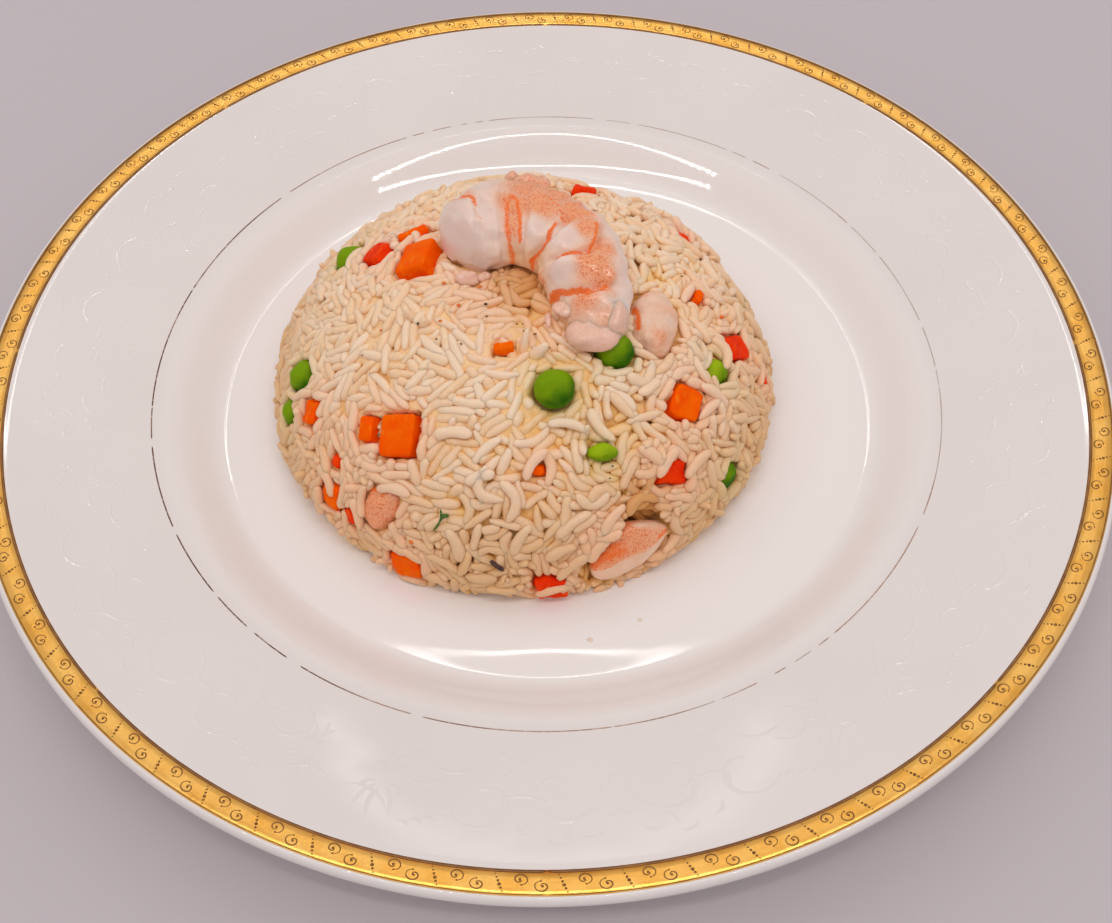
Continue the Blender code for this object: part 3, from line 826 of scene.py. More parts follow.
def settle(grains, rounds):
    """Pushes overlapping grains apart inside the rice's solid, out of its pockets and off the core."""
    solid = solid_of("rice")
    owners = np.repeat(np.arange(len(grains.middle)), len(BEADS))
    radii = (grains.girth[:, None] * BEAD_GIRTHS).ravel()
    slack = np.repeat(grains.slack, len(BEADS))
    outermost = grains.layer == 0
    pairs = None
    wall = np.zeros((len(owners), 3))
    for step in range(rounds):
        grains.middle[outermost] += HUG * Dome.depth(grains.middle[outermost])[1]
        places, arms = grains.beads()
        places = places.reshape(-1, 3)
        if step % PAIRS_EVERY == 0:
            pairs = close_pairs(places, owners, 2 * GRAIN_GIRTH + PAIR_REACH)
        apart = places[pairs[0]] - places[pairs[1]]
        distance = np.linalg.norm(apart, axis=1)
        overlap = (radii[pairs[0]] + radii[pairs[1]]) * SQUEEZE - distance
        push = apart / np.maximum(distance, 1e-7)[:, None] * np.maximum(overlap, 0.0)[:, None] * PAIR_PUSH
        pushes = np.zeros_like(places)
        for axis in range(3):
            pushes[:, axis] += np.bincount(pairs[0], push[:, axis], len(places))
            pushes[:, axis] -= np.bincount(pairs[1], push[:, axis], len(places))
        if step % WALLS_EVERY == 0:
            wall[:] = 0.0
            depths = Dome.depth(places)[0]
            covered = near_any(places, COVERED_NAMES, COVER_REACH)
            for index, place in enumerate(places):
                near, normal, _, gap = solid.find_nearest(place, WALL_REACH)
                if near is None:
                    continue
                away = Vector(place) - near
                out = away.dot(normal)
                gap = gap if out > 0 else -gap
                on_skin = depths[index] < SKIN_DEPTH
                allowed = slack[index] if on_skin else (0.75 + 1.1 * covered[index]) * MM
                excess = gap + radii[index] - allowed
                if excess > 0:
                    inward = -normal if abs(gap) < ON_WALL else (-away if out > 0 else away).normalized()
                    wall[index] = inward * min(excess, WALL_STEP)
            deep = np.maximum(depths - HEAP_DEPTH, 0.0)
            wall += Dome.depth(places)[1] * deep[:, None]
        pushes += wall * WALL_PUSH
        grains.move(pushes.reshape(-1, len(BEADS), 3), arms)
    return grains


def clear_of(grains, names):
    """Which grains keep clear of some CAD nodes."""
    places = grains.beads()[0].reshape(-1, 3)
    owners = np.repeat(np.arange(len(grains.middle)), len(BEADS))
    clear = np.ones(len(grains.middle), bool)
    for name in names:
        solid = solid_of(name)
        for place, owner in zip(places, owners):
            near, normal, _, gap = solid.find_nearest(place, 3 * MM)
            if near is None:
                continue
            gap = gap if (Vector(place) - near).dot(normal) > 0 else -gap
            if gap < CLEAR_GAP:
                clear[owner] = False
    return clear


def grain_corners(grains, chosen, rows, columns, rng):
    """Corners of the chosen grains: bowed, blunt bodies with soft ridges and a nick where the germ was."""
    count = len(chosen)
    t = -np.cos(np.pi * np.arange(1, rows + 1) / (rows + 1))
    turn = math.tau * np.arange(columns) / columns
    axis, way = grains.axis[chosen], grains.bow_way[chosen]
    half = grains.length[chosen] / 2
    reach = grains.reach()[chosen]
    bow = grains.bow[chosen]
    stations = np.concatenate(([-1.0], t, [1.0]))
    along = stations[None, :] * half[:, None]
    aside = bow[:, None] * (0.5 - (along / reach[:, None]) ** 2)
    line = grains.middle[chosen][:, None, :] + axis[:, None, :] * along[..., None]
    line = line + way[:, None, :] * aside[..., None]
    lean = -2 * bow[:, None] * along[:, 1:-1] / reach[:, None] ** 2
    tangent = unit(axis[:, None, :] + way[:, None, :] * lean[..., None])
    first = unit(way[:, None, :] - axis[:, None, :] * lean[..., None])
    second = np.cross(tangent, first)
    ends = rng.uniform(2.8, 7.0, (2, count, 1))
    blunt = (1 - np.abs(t) ** np.where(t < 0, ends[0], ends[1])) ** 0.5
    phase = rng.uniform(0, math.tau, (3, count, 1, 1))
    narrow = 1 - rng.uniform(0.0, 0.24, (count, 1)) * (t + 1) / 2
    radius = grains.girth[chosen][:, None] * blunt * narrow
    radius = radius * (1 + 0.08 * np.sin(3.8 * t[None, :] + phase[0, :, :, 0]))
    radius = radius[:, :, None] * np.ones(columns)
    ridge = 0.06 * np.cos(2 * turn + phase[1] + 1.2 * t[:, None])
    ridge = ridge + 0.035 * np.cos(3 * turn + phase[2] - 2.5 * t[:, None])
    nick = np.exp(-(((t - 0.74) / 0.2) ** 2))[None, :, None] * np.maximum(0, np.cos(turn - phase[2])) ** 2
    radius = radius * (1 + ridge) * (1 - 0.20 * nick)
    flat = rng.uniform(0.78, 0.98, (count, 1, 1))
    ring = first[:, :, None, :] * (radius * np.cos(turn))[..., None]
    ring = ring + second[:, :, None, :] * (radius * flat * np.sin(turn))[..., None]
    ring = (line[:, 1:-1, None, :] + ring).reshape(count, -1, 3)
    return np.concatenate((line[:, :1], ring, line[:, -1:]), axis=1)


# Pieces that lie open, those that grains must keep off, and those partly covered by grains.
OPEN_NAMES = ("carrot_large", "carrot_pair_large", "carrot_pair_small", "pea_front", "pea_half", "shrimp_top",
              "shrimp_front", "plate", "rice")
CLEAR_NAMES = ("carrot_pair_large", "carrot_pair_small", "carrot_large", "pea_front")
CLEAR_GAP = 0.0010
COVERED_NAMES = [name for name in NODES if name not in OPEN_NAMES]


def near_any(places, names, reach):
    """How near places are to any of some CAD nodes: 1 at their middle, falling off over the reach."""
    total = np.zeros(len(places))
    for name in names:
        low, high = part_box(name)
        size = (high - low).length / 2 * 0.55
        gap = np.maximum(np.linalg.norm(places - np.array(node_middle(name)), axis=1) - size, 0.0)
        total = np.maximum(total, np.exp(-((gap / reach) ** 2)))
    return total


def make_rice_finish():
    """Cooked rice: cream and a little translucent, stained pink by carrot and shrimp and green by peas.
    Painted shade makes it darker tan low on the dome, orange in the crevices between grains and dark in the
    hollows by the shrimp.
    """
    made, wire = new_finish("cooked_rice", {
        "Subsurface Weight": 0.50, "Subsurface Radius": (0.65, 0.85, 1.0), "Subsurface Scale": 0.0009,
        "Coat Roughness": 0.12, "Coat Weight": 0.20, "IOR": 1.42, "Specular IOR Level": 0.20,
    })
    shade = wire.value("shade")
    cloud = wire.grain(0.0011, 3.0)
    slow = wire.grain(0.018, 2.0)
    place = wire.node("TexCoord", output="Object")
    height = wire.node("SeparateXYZ", inputs={0: place}, output="Z")
    tone = wire.blend(shade.between(-1.6, 1.6), colour(0.905, 0.615, 0.375), colour(0.945, 0.730, 0.550))
    tone = wire.blend(slow.between(0.35, 0.65) * 0.25, tone, colour(0.94, 0.63, 0.35))
    tone = wire.blend(cloud.between(0.45, 0.75) * 0.45, tone, colour(0.955, 0.775, 0.635))
    # Painted shade: grains low on the dome are painted a darker tan, for the shade towards its foot.
    tone = wire.blend((1 - height.between(0.012, 0.045)) * 0.80, tone, colour(0.72, 0.425, 0.185))
    # Painted shade: corners that lie deeper in the heap, in the crevices between grains, are painted a
    # saturated orange for the shade there.
    tone = wire.blend(wire.value("deep") * 0.85, tone, colour(0.945, 0.555, 0.115))
    tone = wire.blend(wire.value("pink") * 0.60, tone, colour(0.97, 0.56, 0.38))
    tone = wire.blend(wire.value("green") * 0.45, tone, colour(0.78, 0.68, 0.36))
    # Painted shade: the hollows by the shrimp are painted a dark orange-brown.
    tone = wire.blend(wire.value("warm") * 0.85, tone, colour(0.68, 0.30, 0.06))
    feed(made, {
        "Base Color": tone,
        "Roughness": 0.30 + 0.16 * cloud,
        "Normal": wire.bump(wire.grain(0.0006, 2.0), 0.00005),
    })
    return made


def make_core_finish():
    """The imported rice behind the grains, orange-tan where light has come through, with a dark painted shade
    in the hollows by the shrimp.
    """
    made, wire = new_finish("packed_rice", {"Roughness": 0.55})
    cloud = wire.grain(0.0022, 3.0)
    pressed = wire.value("pressed")
    tone = wire.blend(cloud.between(0.3, 0.7), colour(0.87, 0.49, 0.125), colour(0.94, 0.61, 0.27))
    tone = wire.blend(pressed * 0.75, tone, colour(0.955, 0.665, 0.41))
    # Painted shade in the hollows by the shrimp.
    tone = wire.blend(wire.value("warm") * 0.9, tone, colour(0.72, 0.30, 0.055))
    feed(made, {"Base Color": tone, "Normal": wire.bump(cloud, 0.0005)})
    return made


RED_NAMES = [name for name in NODES if name.startswith(("carrot", "shrimp"))]
GREEN_NAMES = [name for name in NODES if name.startswith("pea")]
PINK_REACH = 0.0045
GREEN_REACH = 0.0032
# How deep under the dome's skin the painted crevice shade on the grains starts, and over what depth it grows
# to full.
CREVICE_SHADE_START = 0.0001
CREVICE_SHADE_REACH = 0.0014


def hollow_at(places):
    """How far places lie in the hollows by the shrimp, where shade is painted."""
    away = [np.linalg.norm(places[:, :2] - np.array(Dome.centre.xy) - middle, axis=1) / reach
            for middle, reach in HOLLOWS]
    return np.exp(-np.min(away, axis=0) ** 2)


def make_rice(rng):
    """The heap: two layers of settled grains. The outer layer is one piece in front and one at the back."""
    finish = make_rice_finish()
    grains = settle(Grains(rng), SETTLE_ROUNDS)
    grains.lay(rng, LAID_GRAINS)
    clear = clear_of(grains, CLEAR_NAMES)
    middle = grains.middle
    front = middle[:, 1] < Dome.centre.y
    per_grain = {
        "pink": near_any(middle, RED_NAMES, PINK_REACH) * (0.55 + 0.35 * rng.random(len(middle))),
        "green": near_any(middle, GREEN_NAMES, GREEN_REACH) * 0.7,
        # Painted shade in the hollows by the shrimp.
        "warm": hollow_at(middle),
        "shade": grains.shade,
    }
    outer = grains.layer == 0
    heaps = (("rice_outer_front", 0, outer & front),
             ("rice_outer_back", 0, outer & ~front),
             ("rice_middle", 1, ~outer))
    for name, layer, chosen in heaps:
        chosen = np.nonzero(chosen & clear)[0]
        rows, columns = GRAIN_ROWS[layer], GRAIN_COLUMNS[layer]
        corners = grain_corners(grains, chosen, rows, columns, rng)
        count = corners.shape[1]
        pattern = tube_faces(rows, columns)
        faces = [tuple(corner + index * count for corner in face)
                 for index in range(len(chosen)) for face in pattern]
        corners = corners.reshape(-1, 3)
        values = {title: np.repeat(value[chosen], count) for title, value in per_grain.items()}
        # Painted shade: corners deeper under the dome's skin, in the crevices between grains, get an orange
        # shade.
        values["deep"] = np.clip((Dome.depth(corners)[0] - CREVICE_SHADE_START) / CREVICE_SHADE_REACH, 0.0, 1.0)
        add_piece(name, corners, faces, finish, values, ("rice",))


def make_core():
    """The starchy inside of the heap, filling in behind the grains and clear of what lies in the rice."""
    solid = solid_of("rice")
    corners = [Dome.centre[:]]
    skins = [Dome.centre[:]]
    for row in range(CORE_ROWS):
        rise = 90 * row / CORE_ROWS
        for column in range(CORE_COLUMNS):
            skin, normal = Dome.place(360 * column / CORE_COLUMNS, rise)
            start = skin + normal * CORE_START
            hit = solid.ray_cast(start, -normal, CORE_LOOK)[0]
            sunk = 0.0 if hit is None else max(0.0, (start - hit).length - CORE_START)
            loose = looseness(np.array([skin[:]]))[0]
            lump = noise.noise(skin / (1.9 * MM)) * 0.35 * MM + noise.noise(skin / (5 * MM)) * 0.35 * MM
            pit = max(0.0, noise.noise(skin / (3.1 * MM) + Vector((7.0, 0.0, 2.0))) - 0.22) * 3
            sunk = min(sunk, CORE_DEEPEST) + PASTE_DEPTH + PASTE_LOOSE * loose
            sunk += PIT_DEPTH * min(pit, 1.0) - 0.5 * lump
            skins.append(skin[:])
            sunk += HOLLOW_DEPTH * hollow_at(np.array([skin[:]]))[0]
            place = skin - normal * sunk
            corners.append((place.x, place.y, max(place.z, Dome.centre.z)))
    corners.append((*Dome.centre.xy, Dome.centre.z + Dome.height - PASTE_DEPTH))
    skins.append(corners[-1])
    places = np.array(skins)
    sunk = Dome.depth(np.array(corners))[0]
    pressed = (1 - looseness(places)) * np.clip(1.3 - sunk / (1.1 * MM), 0.0, 1.0)
    # The core's painted shade in the hollows by the shrimp.
    values = {"pressed": pressed, "warm": hollow_at(places)}
    faces = tube_faces(CORE_ROWS, CORE_COLUMNS)
    add_piece("rice_core", corners, faces, make_core_finish(), values, ("rice",))


# ---------------------------------------------------------------- carrot and peas

CARROT_NOISE = 0.00016
RED_CARROTS = (
    "carrot_upper_left", "carrot_right_high", "carrot_under_grains", "carrot_low_left_red",
    "carrot_foot_front", "carrot_chip_left", "carrot_chip_right", "carrot_behind_shrimp",
    "carrot_rear_right", "carrot_back_right", "carrot_side_left",
)


def fine_copy(name, levels):
    """A CAD node's shape as a coarse cage, subdivided: its corners, normals and faces."""
    cage = bmesh.new()
    cage.from_mesh(NODES[name].data)
    bmesh.ops.remove_doubles(cage, verts=cage.verts[:], dist=1e-6)
    bmesh.ops.dissolve_limit(cage, angle_limit=math.radians(1), verts=cage.verts[:], edges=cage.edges[:])
    return smoothed(cage, name, levels)


def smoothed(cage, name, levels):
    """A coarse cage, subdivided: its corners, normals and faces."""
    mesh = bpy.data.meshes.new(name + "_cage")
    cage.to_mesh(mesh)
    cage.free()
    holder = bpy.data.objects.new(name + "_cage", mesh)
    bpy.context.scene.collection.objects.link(holder)
    smooth = holder.modifiers.new("fine", "SUBSURF")
    smooth.levels = levels
    smooth.render_levels = levels
    fine = bpy.data.meshes.new_from_object(holder.evaluated_get(bpy.context.evaluated_depsgraph_get()))
    corners = np.array([vert.co[:] for vert in fine.vertices])
    normals = np.array([vert.normal[:] for vert in fine.vertices])
    faces = [tuple(face.vertices) for face in fine.polygons]
    bpy.data.objects.remove(holder)
    bpy.data.meshes.remove(mesh)
    bpy.data.meshes.remove(fine)
    return corners, normals, faces


def uneven(corners, normals, size, height, seed):
    """Corners moved along their normals by smooth noise."""
    shift = Vector((seed * 0.37, seed * 0.11, seed * 0.73))
    lift = np.array([noise.noise(Vector(corner) / size + shift) for corner in corners])
    return corners + normals * (lift * height)[:, None]


def make_carrot_finish(name, core, edge, streak):
    """Cooked carrot: its cut faces speckled and streaked, wet with oil."""
    made, wire = new_finish(name, {
        "Subsurface Weight": 0.15, "Subsurface Radius": (1.0, 0.30, 0.08), "Subsurface Scale": 0.0008,
        "Coat Weight": 0.05, "Coat Roughness": 0.05, "Specular IOR Level": 0.01,
    })
    slow = wire.grain(0.0042, 2.0)
    fibre = wire.grain(0.0011, 3.0, (1.0, 0.35, 0.7))
    speck = wire.grain(0.00035, 2.0)
    tone = wire.blend(slow.between(0.35, 0.68), colour(*core), colour(*edge))
    tone = wire.blend(fibre.between(0.56, 0.74) * 0.55, tone, colour(*streak))
    tone = wire.blend(speck.between(0.60, 0.80) * 0.25, tone, colour(*streak))
    feed(made, {
        "Base Color": tone,
        "Roughness": 0.30 + 0.25 * fibre,
        "Normal": wire.bump(fibre + 0.4 * speck, 0.00008),
    })
    return made


def make_carrots():
    """Every diced carrot, its edges softened by cooking and its faces a little uneven."""
    orange = make_carrot_finish("carrot", (1.0, 0.094, 0.0), (1.0, 0.140, 0.0), (1.00, 0.26, 0.008))
    red = make_carrot_finish("red_carrot", (0.85, 0.028, 0.002), (0.95, 0.055, 0.003), (0.97, 0.16, 0.02))
    for number, name in enumerate(sorted(node for node in NODES if node.startswith("carrot"))):
        corners, normals, faces = fine_copy(name, 3)
        rough = 1.0 if name in OPEN_NAMES else 2.6
        corners = uneven(corners, normals, 2.6 * MM, 1.6 * rough * CARROT_NOISE, number)
        corners = uneven(corners, normals, 0.8 * MM, 0.5 * CARROT_NOISE, number + 50)
        finish = red if name in RED_CARROTS else orange
        add_piece("diced_" + name, corners, faces, finish, None, (name,))


def make_pea_finish(name, deep, bright):
    """Pea skin: deep green, paler on the sides turned away from the outside of the dome, painted brighter on
    the side the light comes from as painted light, glossy and slightly wrinkled.
    """
    made, wire = new_finish(name, {
        "Subsurface Weight": 0.20, "Subsurface Radius": (0.45, 1.0, 0.12), "Subsurface Scale": 0.0009,
        "Coat Weight": 0.16, "Coat Roughness": 0.04, "Specular IOR Level": 0.0,
    })
    slow = wire.grain(0.0036, 2.0)
    fine = wire.grain(0.0006, 2.0)
    pale = wire.value("pale")
    # Painted light: the side of a pea that faces PEA_LIT is painted a brighter green.
    lit = 0.5 * slow + 0.75 * wire.value("upper")
    tone = wire.blend(lit.between(0.30, 0.80), colour(*deep), colour(*bright))
    tone = wire.blend(pale * 0.6, tone, colour(0.16, 0.36, 0.006))
    feed(made, {
        "Base Color": tone,
        "Roughness": 0.22 + 0.15 * fine,
        "Normal": wire.bump(fine, 0.00005),
    })
    return made


PALE_PEAS = ("pea_half", "pea_right", "pea_back_left")
PEA_SWELL = 1.055
# Where the painted light on the peas comes from: the side facing it is painted brighter.
PEA_LIT = np.array((-0.45, 0.25, 0.50))


def make_peas():
    """The peas, each with a dimple and a skin that has shrunk a little."""
    deep = make_pea_finish("pea_skin", (0.018, 0.118, 0.001), (0.190, 0.330, 0.002))
    pale = make_pea_finish("pale_pea_skin", (0.120, 0.250, 0.002), (0.330, 0.470, 0.006))
    draw = random.Random(5)
    for number, name in enumerate(sorted(node for node in NODES if node.startswith("pea"))):
        corners, normals, faces = fine_copy(name, 2)
        middle = np.array(node_middle(name))
        corners = middle + (corners - middle) * PEA_SWELL
        away = unit(corners - middle)
        out = Dome.depth(middle[None, :])[1][0]
        eye = unit((out + np.array([draw.uniform(-0.8, 0.8) for _ in range(3)]))[None, :])[0]
        facing = away @ eye
        dimple = np.exp(-(((1 - facing) / 0.05) ** 2)) * 0.45 * MM
        corners = corners - normals * dimple[:, None]
        corners = uneven(corners, normals, 2.2 * MM, 0.30 * MM, number + 20)
        corners = uneven(corners, normals, 0.7 * MM, 0.05 * MM, number + 70)
        edge = np.clip(1 - (away @ out + 0.15) / 0.6, 0, 1)
        # Painted light: each pea is painted brighter on the side facing PEA_LIT.
        add_piece("cooked_" + name, corners, faces, pale if name in PALE_PEAS else deep,
                  {"pale": edge, "upper": np.clip(0.45 + 0.75 * (normals @ PEA_LIT), 0, 1)}, (name,))


# ---------------------------------------------------------------- shrimp

CURL_MIDDLE = Dome.centre + Vector((-0.0012, -0.0081, 0.0))
CURL_START = 140.0
CURL_END = -38.0
BODY_WIDTH = 0.0072
BODY_SINK = 0.0030
TAIL_LIFT = 0.0012
CURL_ROWS = 220
CURL_COLUMNS = 104
OUTLINE_SOFTENING = np.linspace(-0.025, 0.025, 9)

# The curled shrimp seen from above: share of the way from head to tail, then the distances in millimetres
# of its inner and outer edge from the middle of the curl.
CURL_OUTLINE = (
    (0.00, 10.2, 22.6), (0.05, 8.6, 26.6), (0.11, 7.9, 29.6), (0.19, 7.5, 30.6), (0.25, 7.4, 31.0),
    (0.29, 7.5, 32.2), (0.34, 7.5, 30.8), (0.38, 7.3, 29.2), (0.46, 7.0, 29.4), (0.53, 6.9, 28.2),
    (0.60, 6.6, 27.4), (0.68, 6.7, 26.6), (0.77, 6.8, 25.8), (0.86, 7.8, 26.2), (0.94, 10.6, 26.4),
    (1.00, 14.0, 25.4),
)

# Marks on the shrimp's skin, as (x, y) in millimetres seen from above: dark orange lines with a width and a
# strength, then patches of orange skin with a radius and a strength, then the white swellings of the joints.
SHRIMP_LINES = (
    (((-7.4, 12.6), (-8.1, 10.3), (-8.3, 5.7), (-8.1, 2.1), (-7.2, -0.4)), 0.95, 0.75),
    (((-7.4, 12.6), (-6.1, 11.0), (-5.7, 8.7), (-5.2, 4.8), (-5.4, 1.5)), 0.60, 1.0),
    (((-21.6, 14.6), (-20.4, 14.8), (-19.8, 13.6)), 0.50, 0.7),
    (((-18.8, 13.8), (-17.0, 12.6), (-15.8, 11.4), (-15.3, 9.4)), 0.70, 1.0),
    (((-15.6, 8.2), (-15.0, 6.6), (-13.9, 5.2)), 0.25, 0.7),
    (((1.2, 12.4), (2.5, 10.8), (3.6, 8.2), (4.1, 5.9)), 0.32, 1.0),
    (((2.6, 4.6), (1.4, 2.2), (0.5, 0.3), (-1.0, -1.3), (-3.9, -2.4)), 0.55, 0.95),
    (((8.0, 14.6), (10.4, 12.0), (11.2, 8.6), (11.4, 5.0)), 0.45, 0.45),
    (((11.4, 5.0), (11.2, 1.2), (9.8, -3.0), (6.7, -3.4), (2.5, -4.3)), 0.50, 0.95),
    (((7.2, 4.0), (8.8, 3.0), (10.4, 2.8)), 0.30, 0.45),
    (((1.2, -10.2), (3.3, -10.8), (8.5, -11.8), (12.0, -12.0), (14.3, -10.6)), 0.50, 1.0),
    (((7.6, -12.8), (9.6, -13.4)), 0.90, 0.65),
    (((-13.3, -2.2), (-11.4, -2.2), (-9.6, -2.6), (-7.4, -2.2), (-5.4, -2.0)), 0.45, 0.75),
    (((-2.2, -4.2), (-0.5, -5.8), (0.0, -8.4)), 0.60, 0.60),
    (((11.6, -21.3), (14.3, -19.3)), 0.20, 0.55),
)
SHRIMP_SKIN = (
    (-6.8, 10.0, 3.9, 1.00), (-7.2, 4.4, 3.0, 0.95), (-3.4, 16.6, 5.4, 0.95), (-0.4, 10.0, 4.8, 1.00),
    (3.4, 14.4, 5.0, 0.85), (7.2, 9.4, 4.8, 1.00), (9.4, 3.6, 3.4, 0.95), (10.0, -6.6, 5.0, 0.95),
    (12.6, -1.4, 3.8, 0.85), (13.0, -9.6, 3.2, 0.80), (8.6, -13.8, 3.6, 0.70), (-17.8, 12.8, 2.6, 0.65),
    (12.6, -18.0, 3.6, 0.45),
)
SHRIMP_SWELLINGS = (
    (-2.3, 3.0, 3.0, 1.0), (4.4, 0.3, 3.1, 1.1), (4.0, -7.2, 3.2, 1.1), (-18.6, 4.6, 5.4, 1.3),
    (-11.6, 3.2, 3.8, 0.8), (-12.6, 12.6, 4.6, 0.5), (9.8, -17.2, 4.4, 0.8),
)
SHRIMP_CREASES = (
    (((5.6, 7.0), (3.4, 3.4), (1.2, 0.6), (-3.4, -2.6)), 0.90, 1.0),
    (((13.4, 1.0), (9.0, -3.2), (2.0, -4.6)), 0.90, 1.0),
    (((16.0, -10.4), (9.0, -12.2), (0.6, -11.0)), 0.90, 1.0),
    (((-14.4, 10.4), (-15.2, 5.4), (-15.8, -1.6)), 0.90, 0.55),
    (((-9.4, 14.4), (-9.8, 6.4), (-9.2, -1.4)), 0.70, 0.45),
    (((-4.0, 14.0), (-4.0, 6.0), (-5.0, -1.0)), 0.60, 0.35),
)


def make_shrimp_finish():
    """Cooked shrimp: milky flesh, finely dotted orange skin, and darker orange lines at the joints. A deeper
    orange tint colours the cut pieces' flesh, and on the curled shrimp it is painted shade on the inner,
    lower side of its curl.
    """
    made, wire = new_finish("cooked_shrimp", {
        "Subsurface Weight": 0.45, "Subsurface Radius": (1.0, 0.60, 0.45), "Subsurface Scale": 0.0012,
        "Coat Weight": 0.40, "Coat Roughness": 0.12, "IOR": 1.42, "Specular IOR Level": 0.4,
    })
    skin, band, thin, milky = wire.value("skin"), wire.value("band"), wire.value("thin"), wire.value("milky")
    cloud = wire.grain(0.0030, 3.0)
    dots = wire.grain(0.00042, 1.0)
    fibre = wire.grain(0.0009, 3.0, (1.0, 1.0, 0.4))
    tone = wire.blend(cloud.between(0.35, 0.68), colour(0.84, 0.56, 0.42), colour(0.88, 0.65, 0.53))
    # Flesh tint and painted shade: the cut pieces' own deeper tone, and painted shade under the arch of the
    # curled shrimp.
    tone = wire.blend(thin * 0.75, tone, colour(0.86, 0.45, 0.17))
    tone = wire.blend(milky * 0.7, tone, colour(0.86, 0.68, 0.61))
    tone = wire.blend((skin * (0.6 + 0.7 * cloud)).between(0.0, 0.75) * 0.85, tone, colour(0.90, 0.34, 0.13))
    spots = dots.between(0.54, 0.62) * skin.between(0.12, 0.7)
    tone = wire.blend(spots * 0.80, tone, colour(0.76, 0.14, 0.03))
    ragged = (band * (0.35 + 1.2 * dots)).between(0.32, 0.78)
    tone = wire.blend(ragged * 0.95, tone, colour(0.92, 0.17, 0.008))
    feed(made, {
        "Base Color": tone,
        "Roughness": 0.24 + 0.20 * cloud,
        "Normal": wire.bump(fibre + 0.3 * dots, 0.00008),
    })
    return made


def way_from_line(places, line):
    """The distance in plan of places from a line of (x, y) points in millimetres."""
    flat = places[:, :2] / MM
    best = np.full(len(flat), 1e9)
    for start, end in zip(np.array(line[:-1]), np.array(line[1:])):
        run = end - start
        share = np.clip(((flat - start) @ run) / (run @ run), 0.0, 1.0)
        best = np.minimum(best, np.linalg.norm(flat - start - share[:, None] * run, axis=1))
    return best


def on_lines(places, lines):
    """How strongly places lie on some lines, each with a width and a strength."""
    total = np.zeros(len(places))
    for line, width, strength in lines:
        total = np.maximum(total, strength * np.exp(-((way_from_line(places, line) / width) ** 2)))
    return total


def on_patches(places, patches):
    """How strongly places lie on some round patches of (x, y, radius, strength) in millimetres."""
    total = np.zeros(len(places))
    for x, y, radius, strength in patches:
        gap = np.linalg.norm(places[:, :2] / MM - np.array((x, y)), axis=1)
        total = np.maximum(total, strength * np.exp(-((gap / radius) ** 2)))
    return total


def softened(shares, stations, values):
    """Values read off a broken line, averaged over a short stretch so that its corners are rounded."""
    return np.mean([np.interp(shares + shift, stations, values) for shift in OUTLINE_SOFTENING], axis=0)


